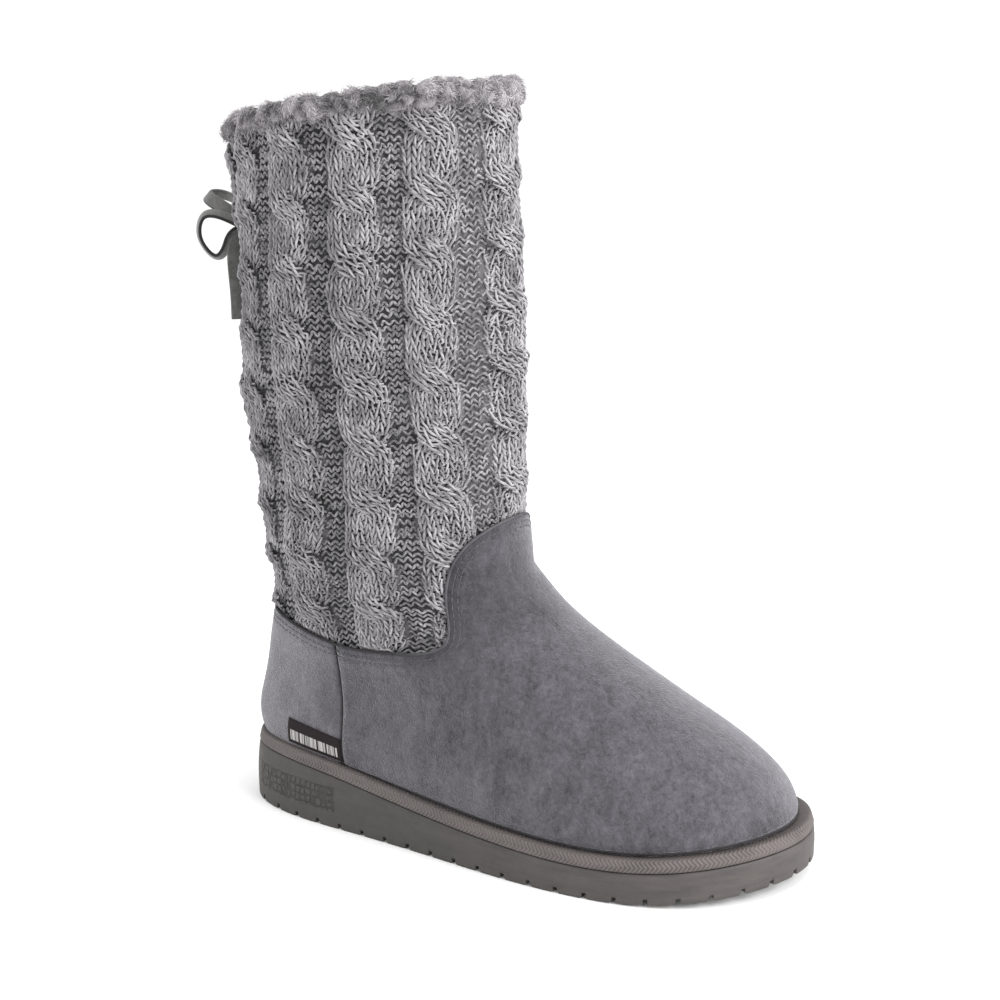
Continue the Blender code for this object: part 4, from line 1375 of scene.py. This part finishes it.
# Fleece of the lining, rolled over the topline: a soft roll and locks of wool standing on it.
collar = {
    # outwards from the knit's face, up from the topline
    "profile": [(-3.0, -0.8), (-0.7, 0.4), (0.7, 2.4), (0.7, 4.9), (-0.9, 7.0), (-3.4, 7.9),
                (-6.4, 6.9), (-8.0, 4.0), (-8.2, -1.6), (-6.6, -3.2), (-3.0, -0.8)],
    # turn, mm that the roll stands above its even run; below 0 the whole roll lies lower
    "swell": [(-0.5, -0.6), (-0.3, -1.0), (-0.18, -2.0), (-0.08, -3.2), (0.0, -2.7), (0.04, -1.4),
              (0.075, 0.5), (0.11, 1.6), (0.15, 0.7), (0.21, 0.1), (0.3, 0.2), (0.38, -1.1),
              (0.45, -0.9), (0.5, -0.6)],
    "rollGrid": (45, 401),
    "curls": 7.4,             # width of a curl
    "curlRise": 4.0,
    "rootSink": 0.3,          # the roll lies this far inside its even run
    "warp": (0.30, 1.7),      # how far the curls are pushed about, and how finely
    "roundness": 2.5,         # of a curl's outline
    "dome": (0.75, 1.35),     # height and steepness of a curl
    "groove": (0.45, 3.0),    # depth and steepness between curls
    "uneven": (0.45, 0.45),   # how much some curls stand higher than others, and how finely
    "whorl": (1.3, 3.0, 1.3),     # strands point outwards, round and to one side
    # piece, strands, share of the way over the roll from its outer foot to its inner one
    "growth": [
        ("collar_wool_outer", 17000, (0.07, 0.62)),
        ("collar_wool_inner", 5500, (0.62, 0.93)),
    ],
    "length": (1.4, 3.0),
    "stand": (0.2, 0.9),      # how far a strand stands off the curl
    "hair": 0.10,             # half a strand's width
    "crease": -0.02,          # no strands grow where the curls lie lower than this
    # inside the leg: strands, how far down they grow and how thickly towards the top, their
    # length and stand, and how far their roots stand off the wall
    "innerStrands": 6000,
    "innerDown": (1, 42, 1.3),
    "innerLength": (3.5, 6.0),
    "innerStand": (1.0, 2.4),
    "innerRoot": 0.2,
    "spread": 0.22,           # how unevenly neighbouring strands lie
    "bend": 0.5,
    "taper": [1.0, 1.1, 1.0, 0.75, 0.3],
    "arch": (2.2, 0.7),       # turn of a strand's arch, share of its length where it stands highest
    "rootDepth": 0.35,
    "droop": 0.25,            # strands low down outside hang a little
    "droopShare": 0.3,
    "rootColours": ((0.030, 0.027, 0.030), (0.21, 0.193, 0.205)),
    "tipColours": ((0.060, 0.054, 0.060), (0.64, 0.60, 0.63)),
    "streak": (0.62, 0.60, 0.61),
    "ground": ((0.10, 0.092, 0.10), (0.34, 0.315, 0.335)),
}
collarRows = np.array(collar["profile"])
collarRun = runLength(collarRows)
collarCurve = smoothCurve(collarRun, collarRows)
collarSwell = np.array(collar["swell"])


def collarPlace(turn, share, lift=0.0):
    # places on the roll, and the way it faces there
    turn, share, lift = broadcast(turn, share, lift)
    run = share.ravel() * collarRun[-1]
    flat = collarCurve(run).reshape(*share.shape, 2)
    swell = np.interp((turn + 0.5) % 1 - 0.5, collarSwell[:, 0], collarSwell[:, 1])
    ahead = collarCurve(run + 0.2).reshape(*share.shape, 2) - flat
    ahead /= np.linalg.norm(ahead, axis=-1)[..., None]
    top = np.full(share.shape, leg.top)
    edge = leg.place(turn, top)
    outward = leg.place(turn, top, 1.0) - edge
    up = leg.upward(turn)
    facing = outward * ahead[..., 1:] - up * ahead[..., :1]
    # where it swells the lower edge stays
    swell = np.where(swell > 0, swell * np.clip(flat[..., 1] / 5, 0, 1), swell)
    rise = up * (flat[..., 1] + swell)[..., None]
    return edge + outward * flat[..., :1] + rise + facing * lift[..., None], facing


def curlLift(rise, share):
    # how far the pile stands off the roll; it dies away at the roll's hidden edges
    shown = np.clip(np.sin(math.pi * share) * 3, 0, 1)
    return rise * collar["curlRise"] * shown - collar["rootSink"]


curlDrift = [Vector((9.3, -1.5, 7.9)), Vector((-3.2, 14.7, 2.6)), Vector((5.8, 6.1, -11.4))]


def curls(places):
    # pile gathered in curls: how high it stands, and a whorl's own vector for each place
    pushed, fineness = collar["warp"]
    height, domeSteep = collar["dome"]
    depth, grooveSteep = collar["groove"]
    uneven, patch = collar["uneven"]
    outwards, around, aside = collar["whorl"]
    rise, whorl = [], []
    for place in (places.reshape(-1, 3) / collar["curls"]).tolist():
        place = Vector(place)
        place += pushed * Vector([noise.noise(place * fineness + away) for away in curlDrift])
        gaps, seeds = noise.voronoi(place, exponent=collar["roundness"])
        dome = 1 - min(1.0, gaps[0] * gaps[0] * domeSteep)
        groove = min(1.0, (gaps[1] - gaps[0]) * grooveSteep)
        rise.append(dome * height + groove * depth - depth + uneven * noise.noise(place * patch))
        away = place - seeds[0]
        # each curl turns about an axis of its own
        x, y, z = (part - 0.5 for part in noise.cell_vector(seeds[0] * 7.3))
        turned = away.cross(Vector((x, y, z))) * around
        whorl.append(away * outwards + turned + Vector((y, z, x)) * aside)
    return np.array(rise).reshape(places.shape[:-1]), np.array(whorl).reshape(places.shape)


def woolStrands(roots, facing, whorl, length, stand, random):
    # short strands lying over the curls, bending along the whorls
    way = whorl - facing * (whorl * facing).sum(axis=1)[:, None]
    size = np.linalg.norm(way, axis=1)[:, None]
    way = way / np.maximum(size, 1e-6) + random.normal(0, collar["spread"], way.shape)
    side = np.cross(facing, way)
    count = len(roots)
    reach = random.uniform(*length, count)[:, None]
    rise = random.uniform(*stand, count)[:, None]
    bend = random.normal(0, collar["bend"], count)[:, None]
    path = []
    turn, top = collar["arch"]
    for share in np.linspace(0, 1, len(collar["taper"])):
        arch = facing * rise * math.sin(turn * share) / math.sin(turn * top)
        path.append(roots - facing * collar["rootDepth"] + way * reach * share + arch
                    + side * bend * math.sin(math.pi * share))
    taper = np.tile(collar["taper"], (count, 1))
    return toMetres(np.stack(path, axis=1)), taper, random.uniform(0, math.pi, count)


def lockMaterial():
    material, tree = newMaterial("fleece_strands", 0.85, Sheen_Weight=0.3, Sheen_Roughness=0.5)
    place, marks = coordinates(tree)
    wool = placeGroup(tree, looseWool, place, Curl=110.0)
    # painted shade: strands lying low in the curls and near the roll's foot are darker
    tone = weighted(tree, (wool["Heather"], 0.35), (depthMark(tree), 0.65))
    root, tip = (mixColours(tree, tone, *collar[key]) for key in ("rootColours", "tipColours"))
    colour = mixColours(tree, remap(tree, split(tree, marks)[0], 0.0, 0.8), root, tip)
    streak = times(tree, remap(tree, wool["Fuzz"], 0.58, 0.75), 0.25)
    return dress(material, Base_Color=mixColours(tree, streak, colour, collar["streak"]))


fleeceStrands = lockMaterial()


def strandsPiece(name, strands, depths, node):
    paths, taper, tilts = strands
    piece = strandPiece(name, paths, 0.0, 0, taper, flat=collar["hair"] * 0.001, tilts=tilts)
    keepDepth(piece, depths)
    finishPiece(piece, fleeceStrands, "fleece", node)
    print(name, len(depths), "strands,", len(piece.data.polygons) * 2, "triangles")


def buildRoll():
    rows, columns = collar["rollGrid"]
    turns, shares = np.meshgrid(np.linspace(1, 0, columns), np.linspace(0, 1, rows))
    rise, _ = curls(collarPlace(turns, shares)[0])
    place, _ = collarPlace(turns, shares, curlLift(rise, shares))
    place[-1] = place[0]
    # how high the pile stands is kept as the second mark, for the shade in the creases
    rise[-1] = rise[0]
    marks = np.stack([turns * 380, rise * 100], axis=2)
    roll = sheetPiece("collar_roll", place, marks, closed=True)
    ground = fleeceMaterial("collar_fleece_ground", *collar["ground"], shadeCreases=True)
    finishPiece(roll, ground, "fleece", "collar_fleece")


def buildCollar():
    random = np.random.default_rng(23)
    buildRoll()
    for name, count, (low, high) in collar["growth"]:
        turn, share = random.uniform(0, 1, count), random.uniform(low, high, count)
        base, facing = collarPlace(turn, share)
        rise, whorl = curls(base)
        grown = rise > collar["crease"]
        share, base, facing = share[grown], base[grown], facing[grown]
        rise, whorl = rise[grown], whorl[grown]
        roots = base + facing * curlLift(rise, share)[:, None]
        whorl[:, 2] -= collar["droop"] * (share < collar["droopShare"])
        # painted shade: darker low in the curls and near the roll's foot over the knit
        depths = np.clip(rise * 1.5, 0, 1) * np.clip((share - 0.04) / 0.13, 0.25, 1)
        strands = woolStrands(roots, facing, whorl, collar["length"], collar["stand"], random)
        strandsPiece(name, strands, depths, "collar_fleece")
    # the lining's pile, as far down as it shows
    count = collar["innerStrands"]
    first, span, power = collar["innerDown"]
    turn, below = random.uniform(0, 1, count), first + span * random.uniform(0, 1, count) ** power
    wall = lining["fleeceLift"] - lining["fleeceThick"] + 0.2
    base = leg.place(turn, leg.top - below, np.full(count, wall))
    facing = leg.place(turn, leg.top - below, np.full(count, wall - 1.0)) - base
    rise, whorl = curls(base)
    rise = rise + collar["innerRoot"]
    strands = woolStrands(base + facing * rise[:, None], facing, whorl,
                          collar["innerLength"], collar["innerStand"], random)
    strandsPiece("lining_wool", strands, np.clip(rise, 0, 1), "shaft")


buildCollar()

# Unit sole, the strip round its top and the footbed.
sole = {
    "lugs": 48,
    "lugShare": 0.835,        # of the pitch
    "lugRound": 0.7,
    "lugCorner": 0.06,        # width of its rounded corner and of its flank, in pitches
    "lugFlank": 0.012,
    "reach": 8.0,             # of an edge lug
    "channel": 3.0,
    "bars": (3, 20),          # tread pitches, from the toe, with a middle bar
    "bulge": 0.35,            # of the side wall
    "gap": 0.3,               # between side wall and strip
    "bandWidth": 9.9,
    "bandSlope": 0.9,         # the strip's top edge stands this far in
    "heelFlare": (0.49, 0.11, 2.2),    # the wall spreads at its foot here
    "heelRise": (0.41, 0.085, 3.0),    # the strip climbs here: turn, half length, mm
    "panel": (13.0, 66.0),    # plain imprint on the outer side of the heel, mm from the heel
    "panelUp": (0.075, 0.195),    # its foot and head, as marks up the wall
    "rib": 1.9,               # mm from rib to rib of the strip's herringbone
    "chevron": 2.4,           # half the width of a chevron
    "ribLean": 0.85,
    "footbed": 6.0,           # thickness
    "footbedEdge": 0.8,       # height of its rounded edge
    "footbedLumps": 0.7,
    "margin": 12.4,           # from the sole's outline to the footbed
    # colours at the heel and at the toe
    "deep": ((0.025, 0.023, 0.020), (0.040, 0.034, 0.033)),
    "pale": ((0.051, 0.048, 0.044), (0.075, 0.063, 0.061)),
    "dust": (0.085, 0.077, 0.073),
    "imprint": (0.012, 0.011, 0.010),
    "band": ((0.050, 0.041, 0.039), (0.088, 0.073, 0.070)),
    "bandRibs": (0.185, 0.160, 0.153),
    "bandDust": (0.125, 0.110, 0.105),
}


def heelRise(turns):
    middle, half, rise = sole["heelRise"]
    return rise * bell(turns % 1.0 - middle, half)


def toMiddle(points, share):
    # draws a ring towards the line from toe to heel; the ring's columns face each other
    return points * (1 - share) + (points + points[::-1]) / 2 * share


def lugColumns():
    # turns over each lug and the gap before it, how far each column is from its lug's middle in
    # pitches, and the lug's number from the toe; the ring starts in a gap so that its sides
    # face each other
    half, corner, flank = sole["lugShare"] / 2, sole["lugCorner"], sole["lugFlank"]
    offsets = [-0.5, -half - flank, -half, -half + corner / 3, -half + corner, -0.25, -0.1,
               0.1, 0.25, half - corner, half - corner / 3, half, half + flank]
    columns = np.array([number + offset for number in range(sole["lugs"]) for offset in offsets])
    columns = np.append(columns, columns[0] + sole["lugs"])
    away = np.append(np.tile(np.abs(offsets), sole["lugs"]), abs(offsets[0]))
    number = np.rint(columns) % sole["lugs"]
    return columns / sole["lugs"], away, np.minimum(number, sole["lugs"] - number)


def buildOutsole():
    turns, away, number = lugColumns()
    half = sole["lugShare"] / 2
    first, last = sole["bars"]
    lug = away <= half + 1e-6
    bar = lug & (number >= first) & (number <= last)
    inner = half - sole["lugCorner"]
    corner = sole["lugRound"] * np.clip((away - inner) / sole["lugCorner"], 0, 1) ** 2
    middle, span, amount = sole["heelFlare"]
    flare = amount * bell(turns % 1.0 - middle, span)

    def base(along):
        return treadHeight(along) + boot["lugDepth"]

    def floor(along):
        return treadHeight(along) + np.where(lug, corner, boot["lugDepth"])

    def barFloor(along):
        return treadHeight(along) + np.where(bar, corner, boot["lugDepth"])

    def top(along):
        return soleTop(along) + heelRise(turns) - boot["bandHeight"] - sole["gap"] * 0.3

    def above(surface, rise):
        return lambda along: surface(along) + rise

    def wall(share):
        return lambda along: base(along) + (top(along) - base(along)) * share

    def capped(surface):
        return lambda along: np.minimum(surface(along) + 0.5, base(along))

    def ring(inset, height, down=0.0):
        # down is how much of the heel's flare shows here
        flat, outward, _ = outlineAt(turns)
        flat = flat - outward * (inset - flare * down)[:, None]
        return np.column_stack([flat, height(flat[:, 0])])

    # from the middle of the upper face over the wall and under the lugs to the tread's middle:
    # inset, height, share of the flare
    reach, bars = sole["reach"], sole["reach"] + sole["channel"]
    rings = [(6.0, top), (1.0, top), (0.35, above(top, -0.1)), (0.05, above(top, -0.45))]
    rings += [(-sole["bulge"] * math.sin(math.pi * share), wall(share), (1 - share) ** 0.7)
              for share in (0.94, 0.8, 0.6, 0.4, 0.2, 0.08)]
    rings += [(0.0, above(floor, 1.1), 1.0), (0.05, above(floor, 0.4), 1.0),
              (0.25, above(floor, 0.1), 1.0), (0.6, floor, 1.0), (4.0, floor), (reach - 0.5, floor),
              (reach, capped(floor)), (reach + 0.1, base), (bars - 0.1, base),
              (bars, capped(barFloor)), (bars + 0.5, barFloor)]
    rows = [ring(*each) for each in rings]
    ends = [toMiddle(rows[-1], share) for share in (0.35, 0.7, 1.0)]
    table = np.array([toMiddle(rows[0], 1.0)] + rows + ends)
    run = outlineAt(turns)[2][:-1]
    run = np.broadcast_to(np.append(run, run.max() + 4), table.shape[:2])
    marks = np.stack([run, table[..., 2]], axis=2)
    return sheetPiece("outsole_foam", table, marks, closed=True, sharp=38)


def rubberRelief(tree, rubber, marks, distance, strength):
    # a pattern moulded over the foam's own grain
    grain = bumpNode(tree, rubber["Height"], 0.0003, 0.5)
    return bumpNode(tree, marks, distance, strength, grain)


def soleMaterial(panelRun):
    material, tree = newMaterial("sole_foam", 0.62)
    place, marks = coordinates(tree)
    rubber = placeGroup(tree, foamRubber, place)
    toe = remap(tree, split(tree, place)[0], -0.02, 0.13)
    deep, pale = (mixColours(tree, toe, *sole[key]) for key in ("deep", "pale"))
    colour = mixColours(tree, rubber["Rub"], deep, pale)
    colour = mixColours(tree, times(tree, rubber["Dust"], 0.28), colour, sole["dust"])
    # plain imprint at the heel: a field of small cells with soft edges
    sides = []
    for value, (low, high) in zip(split(tree, marks), (np.array(panelRun) * 0.01, sole["panelUp"])):
        sides.append(times(tree, remap(tree, value, low, low + 0.01),
                           remap(tree, value, high - 0.01, high, 1.0, 0.0)))
    cells = addNode(tree, "ShaderNodeTexVoronoi", feature="DISTANCE_TO_EDGE", Scale=300.0,
                    Randomness=0.4)
    tree.links.new(place, cells.inputs["Vector"])
    stipple = times(tree, *sides, remap(tree, cells.outputs["Distance"], 0.04, 0.16, 1.0, 0.0))
    colour = mixColours(tree, times(tree, stipple, 0.55), colour, sole["imprint"])
    return dress(material, Base_Color=colour,
                 Roughness=remap(tree, rubber["Rub"], 0.0, 1.0, 0.52, 0.74),
                 Normal=rubberRelief(tree, rubber, stipple, -0.0012, 1.0))


def bandMaterial():
    material, tree = newMaterial("strip_rubber", 0.66)
    place, marks = coordinates(tree)
    rubber = placeGroup(tree, foamRubber, place, Grain=1800.0)
    # herringbone ribs, in mm along and across the strip
    along, across = (times(tree, mark, 100.0) for mark in split(tree, marks)[:2])
    zigzag = mathNode(tree, "PINGPONG", across, sole["chevron"])
    slant = weighted(tree, (zigzag, sole["ribLean"]), (along, 1))
    ribs = remap(tree, wave(tree, slant, 2 * math.pi / sole["rib"]), -0.4, 0.6)
    colour = mixColours(tree, rubber["Rub"], *sole["band"])
    colour = mixColours(tree, times(tree, ribs, 0.42), colour, sole["bandRibs"])
    colour = mixColours(tree, times(tree, rubber["Dust"], 0.25), colour, sole["bandDust"])
    return dress(material, Base_Color=colour, Normal=rubberRelief(tree, rubber, ribs, 0.0004, 0.8))


def buildBand():
    turns = np.linspace(0, 1, 481)
    wide, low, slope = sole["bandWidth"], boot["bandHeight"] - sole["gap"] * 0.5, sole["bandSlope"]
    # inset and depth under the sole's upper face
    profile = [(wide, low), (0.9, low), (0.35, low - 0.12), (0.0, low - 0.6), (-0.1, low - 1.2),
               (0.15, 3.4), (0.45, 2.0), (slope, 0.75), (slope + 0.35, 0.2), (slope + 1.0, 0.0),
               (3.2, 0.05), (4.6, 0.5), (wide, 0.5), (wide, low)]
    place, outward, run = outlineAt(turns)
    rows = []
    for inset, down in profile:
        flat = place - outward * inset
        rows.append(np.column_stack([flat, soleTop(flat[:, 0]) + heelRise(turns) - down]))
    run[-1] = run[-2] + (run[-2] - run[-3])
    lengths = runLength(np.array(profile))
    marks = np.stack(np.broadcast_arrays(run[None], lengths[:, None]), axis=2)
    piece = sheetPiece("foxing_strip", np.array(rows), marks, closed=True, sharp=50)
    finishPiece(piece, bandMaterial(), "band_rubber", "foxing_band")
    # dark line where the suede meets the strip: partly glue, partly painted shade of the gap there
    turns = np.linspace(0, 1, 480, endpoint=False)
    radius, up, out = suede["footLine"]
    lift = suede["stand"] - suede["footTuck"] + out
    route = toMetres(leg.place(turns, heelRise(turns) + up, lift))
    line = strandPiece("foot_line", [route], radius * 0.001, 1, closed=True)
    finishPiece(line, pipingAndShade, "suede", "upper")


def buildFootbed():
    place, outward, _ = outlineAt(np.linspace(0, 1, 161))
    flat = place - outward * sole["margin"]
    low = soleTop(flat[:, 0]) - boot["bandHeight"] + 0.3
    rim = np.column_stack([flat, low])
    crown = np.column_stack([flat, low + sole["footbed"] - sole["footbedEdge"]])
    rows = [toMiddle(rim, 1.0), rim]
    for share in (0.0, 0.04, 0.1, 0.2, 0.32, 0.44, 0.56, 0.68, 0.8, 0.9, 1.0):
        rows.append(toMiddle(crown, share) + (0, 0, sole["footbedEdge"] * min(1, share * 8)))
    table = np.array(rows)
    table[3:, :, 2] += lumpy(table[3:], lining["lumpScale"], sole["footbedLumps"])
    table[-1] = (table[-1] + table[-1][::-1]) / 2
    piece = sheetPiece("footbed_fleece", table, closed=True)
    finishPiece(piece, liningFleece, "fleece", "insole")


def buildSole():
    outsole = buildOutsole()
    # run along the outline at the two ends of the heel's imprint
    place, _, run = outlineAt(np.linspace(0.3, 0.5, 800))
    panelRun = sorted(float(np.interp(-along, -place[:, 0], run)) for along in sole["panel"])
    finishPiece(outsole, soleMaterial(panelRun), "sole_rubber", "outsole")
    buildBand()
    buildFootbed()
    print("sole, strip and footbed")


buildSole()
